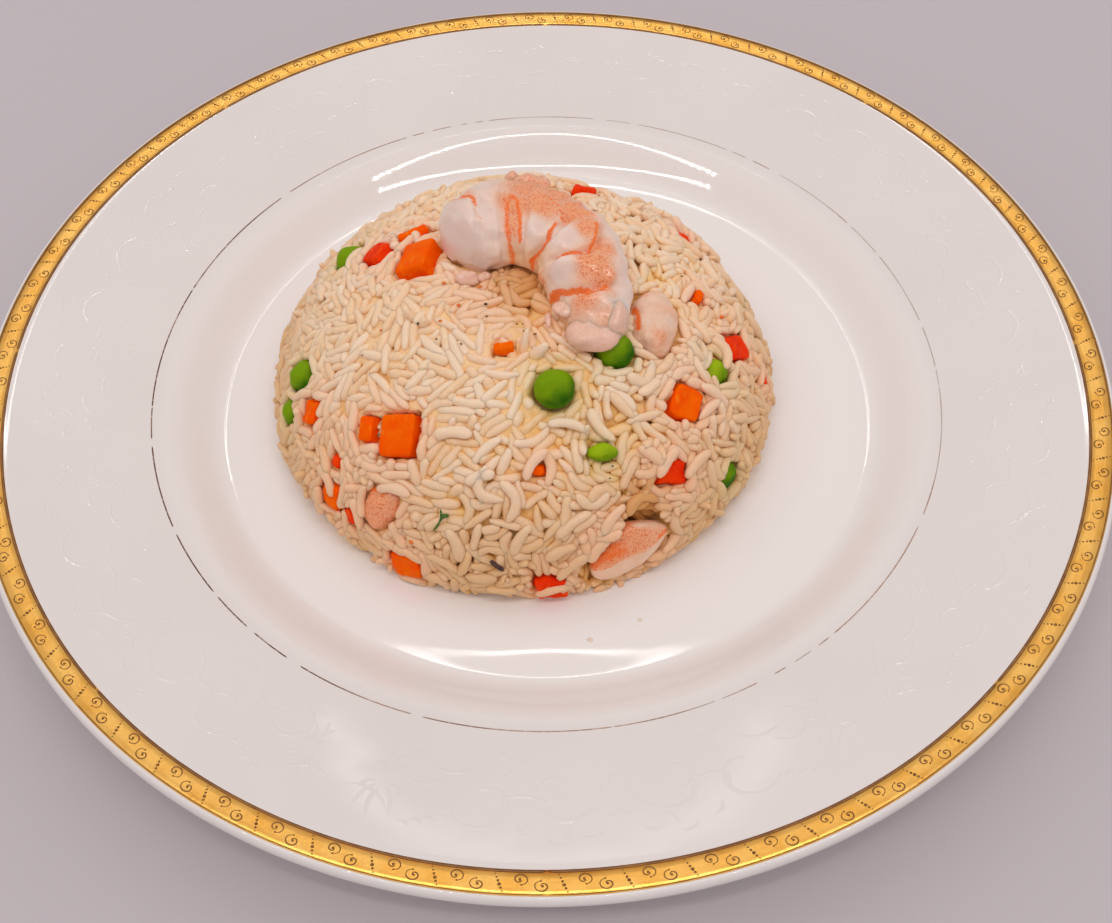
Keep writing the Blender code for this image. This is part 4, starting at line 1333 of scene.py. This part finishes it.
def curled_body():
    """Corners of the curled shrimp and the values of its skin.

    Rows run from the cut head end to the tail. Columns run round the body: outward, up, inward and down.
    """
    rows = (np.arange(CURL_ROWS) + 0.5) / CURL_ROWS
    columns = np.arange(CURL_COLUMNS) * math.tau / CURL_COLUMNS
    outline = np.array(CURL_OUTLINE)
    inner, outer = (softened(rows, outline[:, 0], outline[:, side]) * MM for side in (1, 2))
    rise = np.minimum(1.0, 0.50 + 0.50 * np.sin(np.minimum(1.0, rows / 0.13) * np.pi / 2))
    fall = np.minimum(1.0, 0.42 + 0.58 * np.sin(np.minimum(1.0, (1 - rows) / 0.26) * np.pi / 2))
    width = BODY_WIDTH * rise * fall * (1 - 0.20 * rows) * (1 + 0.03 * np.sin(rows * 36.0))
    closing = np.sqrt(np.clip(rows / 0.045, 0.03, 1)) * np.sqrt(np.clip((1 - rows) / 0.035, 0.03, 1))
    middle, half = (inner + outer) / 2, (outer - inner) / 2 * closing
    angle = np.radians(CURL_START + (CURL_END - CURL_START) * rows)
    outward = np.stack((np.cos(angle), np.sin(angle), np.zeros_like(angle)), -1)
    line = np.array(CURL_MIDDLE) + middle[:, None] * outward
    side = np.linalg.norm(line[:, :2] - np.array(Dome.centre.xy), axis=-1) / Dome.radius
    line[:, 2] = Dome.centre.z + Dome.height * np.sqrt(1 - side**2) - BODY_SINK + width + TAIL_LIFT * rows**4
    width = width * np.minimum(1.0, closing * 1.15)
    across = np.abs(np.cos(columns)) ** 0.85 * np.sign(np.cos(columns))
    corners = line[:, None, :] + outward[:, None, :] * (half[:, None] * across)[..., None]
    corners[..., 2] += width[:, None] * np.sin(columns) - 1.6 * MM * np.maximum(across, 0) ** 3
    corners = corners.reshape(-1, 3)
    away = unit(corners - np.repeat(line, CURL_COLUMNS, axis=0))
    up = np.tile(np.sin(columns), CURL_ROWS)
    out = np.tile(across, CURL_ROWS)
    t = np.repeat(rows, CURL_COLUMNS)
    top = np.clip(up * 2 + 0.6, 0, 1)
    lumps = np.array([noise.noise(Vector(c) / (3.6 * MM)) * 0.80 + noise.noise(Vector(c) / (1.5 * MM)) * 0.26
                      for c in corners]) * MM
    smooth = corners
    swelling = sum(on_patches(smooth, (patch[:3] + (1.0,),)) * patch[3] for patch in SHRIMP_SWELLINGS)
    crease = on_lines(smooth, SHRIMP_CREASES)
    corners = corners + away * (lumps + top * (1.25 * swelling - 1.5 * crease) * MM)[:, None]
    wave = np.array([noise.noise_vector(Vector(c) / (1.4 * MM)) for c in smooth]) * 0.35 * MM
    ragged = smooth + wave
    white = on_patches(smooth, SHRIMP_SWELLINGS[:5])
    band = on_lines(ragged, SHRIMP_LINES) * np.clip(up * 4 + 1.8, 0, 1)
    skin = on_patches(ragged, SHRIMP_SKIN) * np.clip(up * 3 + 1, 0, 1)
    skin = skin * (1 - 0.85 * np.clip(white * 1.3, 0, 1))
    skin = skin * (1 - np.clip((out - 0.62) / 0.2, 0, 1) * np.clip((t - 0.42) / 0.08, 0, 1))
    # Painted shade: the inner, lower side of the curl, under its arch, is painted a darker orange.
    thin = np.clip(-out - 0.35, 0, 1) * 1.5 * np.clip((t - 0.02) / 0.1, 0, 1) * np.clip(1.2 - up, 0, 1)
    thin = np.clip(thin, 0, 1) * (1 - white)
    milky = np.clip((out - 0.6) / 0.25, 0, 1) * np.clip((t - 0.40) / 0.1, 0, 1)
    milky = np.maximum(milky, np.clip(white * 1.2, 0, 1))
    milky = np.maximum(milky, np.clip((0.24 - t) / 0.05, 0, 1) * 0.9)
    corners = np.concatenate((line[:1], corners, line[-1:]))
    values = {"skin": skin, "band": band, "thin": thin, "milky": milky}
    return corners, tube_faces(CURL_ROWS, CURL_COLUMNS), {
        name: np.concatenate(([0.0], np.clip(value, 0, 1), [0.0])) for name, value in values.items()}


def add_lump(shape, place, size, seed, rough, grid=(14, 20), **values):
    """A soft lump. Its place and size are in millimetres, and rough is the height of its unevenness."""
    rows, columns = grid
    t = -np.cos(np.pi * np.arange(1, rows + 1) / (rows + 1))
    turn = math.tau * np.arange(columns) / columns
    ring = np.sqrt(1 - t**2)
    up = t[:, None] * np.ones(columns)
    corners = np.stack((ring[:, None] * np.cos(turn), ring[:, None] * np.sin(turn), up), -1)
    corners = np.concatenate(([(0, 0, -1)], corners.reshape(-1, 3), [(0, 0, 1)])) * np.array(size) * MM / 2
    corners = uneven(corners, unit(corners), 1.8 * MM, rough * MM, seed) + np.array(place) * MM
    shape.add(corners, tube_faces(rows, columns), **values)


# Torn flesh of the curled shrimp: (x, y, z) and the size of each lump, in millimetres.
TORN_TAIL = (
    ((4.2, -13.8, 52.0), (4.8, 3.8, 2.6)), ((0.8, -15.2, 49.8), (1.6, 4.6, 1.8)),
    ((10.6, -18.8, 49.6), (12.6, 9.4, 6.0)), ((15.4, -15.6, 51.4), (5.0, 9.6, 6.6)),
)
TORN_HEAD = (
    ((-17.0, -3.0, 50.6), (5.4, 3.2, 3.2)), ((-13.6, -2.6, 50.6), (3.2, 2.6, 2.4)),
    ((-4.0, 20.8, 56.6), (10.4, 5.6, 4.2)), ((-7.2, 22.4, 57.0), (4.0, 3.6, 2.4)),
)


def make_curled_shrimp(finish):
    """The shrimp on top, with torn flesh at its two ends."""
    shape = Shape()
    corners, faces, values = curled_body()
    shape.add(corners, faces, **values)
    for number, (place, size) in enumerate(TORN_TAIL + TORN_HEAD):
        on_back = place[1] > 0
        add_lump(shape, place, size, number, 0.9, skin=0.5 if on_back else 0.3, band=0.0, thin=0.0, milky=0.7)
    return shape.piece("curled_shrimp", finish, ("shrimp_top",))


def make_cut_shrimp(finish):
    """The cut pieces of shrimp in the rice, but not the wedge."""
    for number, name in enumerate(("shrimp_right", "shrimp_left", "shrimp_back")):
        corners, normals, faces = fine_copy(name, 3)
        corners = uneven(corners, normals, 3.2 * MM, 0.7 * MM, number + 11)
        corners = uneven(corners, normals, 1.1 * MM, 0.16 * MM, number + 41)
        facing = (normals * Dome.depth(corners)[1]).sum(1)
        shift = Vector((number, 0, 0))
        patch = np.array([noise.noise(Vector(corner) / (4.0 * MM) + shift) for corner in corners])
        share = (0.0, 0.75, 0.6)[number]
        skin = np.clip(share + 0.7 * patch, 0, 1) * np.clip(facing + 0.5, 0, 1)
        wave = np.array([noise.noise_vector(Vector(c) / (1.4 * MM)) for c in corners]) * 0.35 * MM
        band = on_lines(corners + wave, CUT_LINES) * np.clip(facing * 3, 0, 1)
        add_piece("cut_" + name, corners, faces, finish,
                  {"skin": skin, "band": band, "thin": 0.22 * (1 - skin), "milky": 0.0 * skin}, (name,))


# Orange lines on the cut pieces, seen from above in millimetres, each with a width and a strength.
CUT_LINES = (
    (((19.2, -8.0), (20.6, -10.6), (20.6, -14.0)), 0.80, 0.9),
    (((18.8, -16.0), (19.9, -17.8), (21.6, -17.6)), 0.60, 0.8),
    (((-38.6, -43.0), (-36.0, -44.6), (-34.2, -44.0)), 0.60, 0.8),
)

# The wedge of shrimp at the foot of the dome: its outline from the near tip round, the edge of its orange
# skin, and the lines on that skin, all (x, y, z) in millimetres. Each line has a width and a strength.
WEDGE_OUTLINE = (
    (9.0, -56.9, 14.6), (10.0, -58.2, 11.6), (13.4, -58.0, 10.6), (19.6, -55.4, 11.4), (24.4, -52.2, 13.2),
    (27.2, -49.6, 16.4), (27.8, -48.0, 18.8), (23.0, -49.2, 21.6), (17.8, -50.9, 23.4), (15.4, -52.8, 21.8),
    (12.4, -55.0, 19.2),
)
WEDGE_THICK = 4.2
WEDGE_SKIN = (
    (9.4, -56.9, 17.3), (13.0, -54.9, 19.7), (16.0, -52.8, 21.5), (21.8, -51.2, 19.6), (26.6, -48.6, 19.8),
)
WEDGE_BELOW = (
    (10.0, -58.4, 11.2), (13.4, -58.2, 10.2), (19.6, -55.6, 11.0), (24.4, -52.4, 12.8), (27.2, -49.8, 16.0),
)
WEDGE_STRIP = ((19.6, -50.4, 23.0), (23.2, -49.2, 21.4), (27.4, -48.0, 19.2))
WEDGE_LINES = (
    (((9.2, -57.2, 15.6), (10.4, -56.4, 17.8), (12.0, -55.4, 19.2)), 0.9, 0.8),
    (((12.2, -55.2, 19.4), (14.6, -54.4, 19.8), (16.9, -53.4, 19.9)), 0.9, 0.9),
    (((10.4, -57.2, 16.0), (13.0, -55.6, 18.0), (16.5, -54.4, 18.0)), 2.4, 0.80),
    (((16.5, -53.6, 19.9), (18.8, -53.4, 18.2), (21.2, -52.8, 15.8)), 0.55, 1.0),
    (((24.8, -50.6, 17.6), (26.4, -49.4, 18.0), (27.5, -48.4, 18.4)), 1.1, 1.0),
    (((15.6, -52.8, 21.6), (17.2, -52.2, 21.8)), 0.9, 0.5),
)


def way_in_space(places, line):
    """The distance of places from a line of (x, y, z) points in millimetres."""
    places = places / MM
    best = np.full(len(places), 1e9)
    for start, end in zip(np.array(line[:-1]), np.array(line[1:])):
        run = end - start
        share = np.clip(((places - start) @ run) / (run @ run), 0.0, 1.0)
        best = np.minimum(best, np.linalg.norm(places - start - share[:, None] * run, axis=1))
    return best


def make_wedge(finish):
    """The wedge of shrimp, orange where its skin is and white where it was cut."""
    outline = np.array(WEDGE_OUTLINE) * MM
    middle = outline.mean(axis=0)
    inward = -Dome.depth(outline)[1]
    bulge = -Dome.depth(middle[None, :])[1][0] * 0.0009
    cage = bmesh.new()
    rings = []
    for share, depth in ((0.72, -0.5), (0.94, -0.2), (1.0, 0.8), (0.96, WEDGE_THICK)):
        ring = middle + (outline - middle) * share + inward * depth * MM - (bulge if share == 0.72 else 0.0)
        rings.append([cage.verts.new(place) for place in ring])
    for first, second in zip(rings, rings[1:]):
        for index in range(len(outline)):
            after = (index + 1) % len(outline)
            cage.faces.new((first[index], first[after], second[after], second[index]))
    cage.faces.new(list(reversed(rings[0])))
    cage.faces.new(rings[-1])
    bmesh.ops.recalc_face_normals(cage, faces=cage.faces[:])
    corners, normals, faces = smoothed(cage, "wedge", 3)
    corners = uneven(corners, normals, 2.4 * MM, 0.30 * MM, 3)
    wave = np.array([noise.noise_vector(Vector(c) / (1.6 * MM)) for c in corners]) * 0.45 * MM
    ragged = corners + wave
    to_skin, to_below = way_in_space(ragged, WEDGE_SKIN), way_in_space(ragged, WEDGE_BELOW)
    flesh = np.clip((to_skin - to_below) / 0.9 + 0.5, 0, 1)
    strip = np.exp(-((way_in_space(ragged, WEDGE_STRIP) / 1.1) ** 2))
    facing = (normals * Dome.depth(corners)[1]).sum(1)
    far = np.clip((corners[:, 0] / MM - 17.0) / 6.0, 0, 1)
    skin = (1 - np.maximum(flesh, strip)) * np.clip(facing * 2 + 0.8, 0, 1) * (1 - 0.45 * far)
    band = np.zeros(len(corners))
    for line, width, strength in WEDGE_LINES:
        band = np.maximum(band, strength * np.exp(-((way_in_space(ragged, line) / width) ** 2)))
    band *= 1 - np.maximum(flesh, strip)
    add_piece("cut_shrimp_front", corners, faces, finish,
              {"skin": skin, "band": band, "thin": 0.35 * (1 - skin), "milky": 0.0 * skin}, ("shrimp_front",))


# ---------------------------------------------------------------- specks and marks

# Specks on the rice: (bearing, rise, size in mm), by colour.
PEPPER = (
    (-33.8, 77.6, 0.8), (-44.5, 65.2, 0.55), (-58.5, 64.8, 0.7), (-63.2, 60.6, 0.4), (-1.1, 6.4, 0.7),
    (-6.9, 10.8, 0.45), (41.0, 21.0, 0.6), (24.6, 38.4, 0.5), (23.0, 35.8, 0.45), (130.0, 44.0, 0.6),
    (-165.0, 33.0, 0.5), (98.0, 52.0, 0.5), (-140.0, 58.0, 0.6),
)
BROWN_SPECKS = (
    (-1.4, 74.5, 0.7), (2.9, 74.5, 0.6), (3.6, 72.8, 0.7), (10.7, 71.8, 0.8), (16.7, 68.1, 0.5),
    (-72.7, 59.3, 0.5), (-37.3, 53.2, 0.5), (-26.6, 75.1, 0.7), (-31.7, 67.1, 0.6), (-63.6, 50.2, 0.6),
    (150.0, 52.0, 0.6), (-110.0, 30.0, 0.6), (75.0, 22.0, 0.5), (14.0, 26.0, 0.8),
)
ORANGE_SPECKS = (
    (-50.9, 68.7, 1.0), (-55.8, 80.1, 1.2), (-51.9, 73.9, 0.9), (-77.8, 73.6, 0.9), (-67.5, 56.9, 0.7),
    (-24.0, 17.6, 1.6), (-23.0, 13.6, 1.4), (-33.0, 27.0, 1.2), (88.0, 40.0, 1.2), (-170.0, 60.0, 1.0),
)
# Strips on the rice: (bearing, rise) points and a width in mm.
HERB_STRIPS = (
    (((-19.5, 23.0), (-18.6, 25.2), (-18.1, 27.0), (-18.3, 28.2), (-18.6, 29.4)), 0.55),
    (((-18.3, 27.0), (-17.4, 28.0), (-16.4, 28.4)), 0.9),
    (((104.0, 21.5), (105.5, 24.0), (106.0, 26.0)), 0.8),
)
DARK_STRIPS = ((((-6.4, 17.2), (-5.6, 16.2), (-4.6, 15.2), (-3.4, 14.2)), 1.3),)
# Drops of oil on the plate: (x, y) in mm and a size in mm.
OIL_DROPS = ((9.4, -70.2, 1.5), (20.6, -65.3, 1.2))
SPECK_LIFT = 0.0004
SPECK_GRID = (6, 10)


def make_plain_finish(name, dark, pale, roughness):
    """A small mottled thing."""
    made, wire = new_finish(name, {"Specular IOR Level": 0.2})
    cloud = wire.grain(0.0005, 2.0)
    tone = wire.blend(cloud.between(0.35, 0.65), colour(*dark), colour(*pale))
    feed(made, {
        "Base Color": tone,
        "Roughness": roughness + 0.2 * cloud,
        "Normal": wire.bump(cloud, 0.00005),
    })
    return made


def add_strip(shape, points, width, height):
    """A narrow strip laid on the rice through (bearing, rise) points."""
    spread = np.linspace(0, len(points) - 1, 4 * len(points))
    stations = range(len(points))
    bearings, rises = (np.interp(spread, stations, [point[side] for point in points]) for side in (0, 1))
    laid = [Dome.place(bearing, rise) for bearing, rise in zip(bearings, rises)]
    normals = np.array([normal[:] for _, normal in laid])
    path = np.array([point[:] for point, _ in laid]) + normals * SPECK_LIFT
    widths = width * MM * (0.35 + 0.65 * np.sin(np.linspace(0.1, 0.9, len(path)) * np.pi))
    raised_stroke(shape, path, normals, widths, height * MM, 8)


def make_specks():
    """Pepper, scraps of herb, carrot and shell on the rice, and drops of oil on the plate."""
    pepper = make_plain_finish("pepper", (0.012, 0.008, 0.006), (0.05, 0.03, 0.02), 0.4)
    brown = make_plain_finish("brown_scrap", (0.30, 0.13, 0.03), (0.50, 0.25, 0.07), 0.4)
    orange = make_plain_finish("orange_scrap", (0.75, 0.13, 0.02), (0.90, 0.28, 0.05), 0.3)
    herb = make_plain_finish("herb", (0.03, 0.10, 0.012), (0.09, 0.20, 0.03), 0.35)
    dark = make_plain_finish("dark_scrap", (0.045, 0.022, 0.025), (0.12, 0.06, 0.05), 0.35)
    for title, finish, specks in (("pepper_specks", pepper, PEPPER), ("brown_specks", brown, BROWN_SPECKS),
                                  ("orange_specks", orange, ORANGE_SPECKS)):
        shape = Shape()
        for number, (bearing, rise, size) in enumerate(specks):
            point, normal = Dome.place(bearing, rise)
            place = (point + normal * SPECK_LIFT) / MM
            add_lump(shape, place, (size, 0.7 * size, 0.6 * size), number, 0.12 * size, SPECK_GRID)
        shape.piece(title, finish)
    for title, finish, strips, height in (("herb_sprig", herb, HERB_STRIPS, 0.30),
                                          ("dark_fleck", dark, DARK_STRIPS, 0.55)):
        shape = Shape()
        for points, width in strips:
            add_strip(shape, points, width, height)
        shape.piece(title, finish)
    oil = make_plain_finish("oil_drop", (0.80, 0.66, 0.56), (0.84, 0.70, 0.60), 0.05)
    shape = Shape()
    for number, (x, y, size) in enumerate(OIL_DROPS):
        place = on_plate(math.hypot(x, y) * MM, math.atan2(y, x))[0] / MM
        add_lump(shape, place, (size, 0.8 * size, 0.25 * size), number, 0.03, SPECK_GRID)
    shape.piece("oil_drops", oil)


# ---------------------------------------------------------------- stage

CAMERA_PLACE = (0.00219, -0.20725, 0.26044)
CAMERA_DOWN = 53.8166
CAMERA_ROLL = -0.4366
CAMERA_LENS = 42.086
LAMP_WARMTH = (1.0, 0.965, 0.94)
LAMP_DISTANCE = 30.0
RING_LAMPS = 16


def make_floor():
    """A plain pale table."""
    made, wire = new_finish("pale_table", {"Roughness": 0.55})
    slow = wire.grain(0.35, 2.0)
    tone = wire.blend(slow, colour(0.530, 0.475, 0.500), colour(0.560, 0.505, 0.530))
    feed(made, {"Base Color": tone})
    mesh = bpy.data.meshes.new("table")
    reach = 3.0
    mesh.from_pydata([(-reach, -reach, 0), (reach, -reach, 0), (reach, reach, 0), (-reach, reach, 0)], [],
                     [(0, 1, 2, 3)])
    mesh.materials.append(made)
    table = bpy.data.objects.new("table", mesh)
    bpy.context.scene.collection.objects.link(table)


def toward(azimuth, elevation):
    """The direction at an azimuth, in degrees from +Y towards +X, and an elevation."""
    side, up = math.radians(azimuth), math.radians(elevation)
    return Vector((math.cos(up) * math.sin(side), math.cos(up) * math.cos(side), math.sin(up)))


def add_lamp(name, start, end, thickness, power):
    """A soft bar lamp between two places, turned to the plate."""
    middle = (start + end) / 2
    back = middle.normalized()
    along = (end - start - back * (end - start).dot(back)).normalized()
    data = bpy.data.lights.new(name, "AREA")
    data.shape = "RECTANGLE"
    data.size = (end - start).length
    data.size_y = thickness
    data.energy = power
    data.color = LAMP_WARMTH
    lamp = bpy.data.objects.new(name, data)
    turn = Matrix((along, back.cross(along), back)).transposed()
    lamp.matrix_world = Matrix.Translation(middle) @ turn.to_4x4()
    bpy.context.scene.collection.objects.link(lamp)


def lamp_row(name, seen_from, directions, count, lit, thickness, power, weights=None):
    """A fitting of bar lamps along directions seen from a place, each lit over a share of its length.

    The thickness is an angle in degrees, and the weights make some lamps dimmer.
    """
    corners = [Vector(seen_from) + toward(*direction) * LAMP_DISTANCE for direction in directions]
    thickness = math.radians(thickness) * LAMP_DISTANCE
    steps = [0.0]
    for first, second in zip(corners, corners[1:]):
        steps.append(steps[-1] + (second - first).length)
    corners = np.array(corners)

    def at(share):
        return Vector([np.interp(share * steps[-1], steps, corners[:, axis]) for axis in range(3)])

    for index in range(count):
        start, end = at((index + 0.5 - lit / 2) / count), at((index + 0.5 + lit / 2) / count)
        weight = 1.0 if weights is None else weights[index]
        add_lamp(f"{name}_{index}", start, end, thickness, weight * power / count)


# The fittings that the glaze mirrors, as (azimuth, elevation), and the parts of the plate that mirror them.
WELL_BACK = (0.0, 0.088, 0.012)
WELL_FRONT = (0.0, -0.076, 0.007)
RIM_FRONT = (0.0, -0.124, 0.023)
HIGH_ROW = ((-27.0, 66.5), (-24.0, 70.0), (-18.0, 72.0), (-9.0, 73.3), (0.0, 73.7), (9.0, 73.3),
            (18.0, 72.0), (24.0, 70.0), (27.0, 66.5))
BULB_ROW = ((247.5, 57.6), (241.4, 59.9), (234.0, 63.6), (224.4, 69.1), (210.6, 75.2), (180.0, 79.6),
            (149.4, 75.2), (135.6, 69.1), (126.0, 63.6), (118.6, 59.9), (112.5, 57.6))
RING_MIDDLE = (-0.8, 54.8)
RING_REACH = (4.5, 4.9)
WINDOW = ((-1.3, 38.1), (0.3, 38.1))


def make_light():
    """A pale room, bright overhead, and the fittings that the glaze mirrors."""
    world = bpy.data.worlds.new("studio")
    bpy.context.scene.world = world
    world.use_nodes = True
    wire = Wire(world.node_tree)
    place = wire.node("TexCoord", output="Generated")
    height = wire.node("SeparateXYZ", inputs={0: place}, output="Z")
    depth = wire.node("SeparateXYZ", inputs={0: place}, output="Y")
    sky = wire.blend((height + 0.2 * depth).between(-0.3, 0.9), colour(0.40, 0.382, 0.385),
                     colour(0.72, 0.690, 0.688))
    background = world.node_tree.nodes["Background"]
    world.node_tree.links.new(sky.socket, background.inputs["Color"])
    lamp_row("high_row", WELL_BACK, HIGH_ROW, 11, 0.8, 0.7, 110.0)
    lamp_row("bulb_row", WELL_BACK, BULB_ROW, 46, 0.42, 2.4, 2200.0)
    turns = np.arange(RING_LAMPS + 1) * math.tau / RING_LAMPS
    ring = [(RING_MIDDLE[0] + RING_REACH[0] * math.sin(turn), RING_MIDDLE[1] + RING_REACH[1] * math.cos(turn))
            for turn in turns]
    weights = 1 - 0.6 * np.sin(turns + math.pi / RING_LAMPS) ** 2
    lamp_row("ring", WELL_FRONT, ring, RING_LAMPS, 1.0, 0.7, 200.0, weights)
    lamp_row("window", RIM_FRONT, WINDOW, 1, 1.0, 0.3, 1.1)


def make_camera():
    """The camera, looking down on the plate from the front."""
    data = bpy.data.cameras.new("camera")
    data.lens = CAMERA_LENS
    data.clip_start = 0.01
    camera = bpy.data.objects.new("camera", data)
    tilt = Matrix.Rotation(math.radians(90 - CAMERA_DOWN), 4, "X")
    roll = Matrix.Rotation(math.radians(CAMERA_ROLL), 4, "Z")
    camera.matrix_world = Matrix.Translation(CAMERA_PLACE) @ tilt @ roll
    bpy.context.scene.collection.objects.link(camera)
    bpy.context.scene.camera = camera


def main():
    """Builds every piece, the stage, the light and the camera."""
    rng = np.random.default_rng(SEED)
    glaze = make_glaze()
    make_plate_body(glaze, make_bisque())
    make_relief(glaze)
    make_border(make_gold(), make_brown_print())
    make_inner_line(make_hairline())
    make_rice(rng)
    make_core()
    make_carrots()
    make_peas()
    shrimp = make_shrimp_finish()
    make_curled_shrimp(shrimp)
    make_cut_shrimp(shrimp)
    make_wedge(shrimp)
    make_specks()
    make_floor()
    make_light()
    make_camera()
    view = bpy.context.scene.view_settings
    view.view_transform = "Standard"
    view.look = "None"


main()
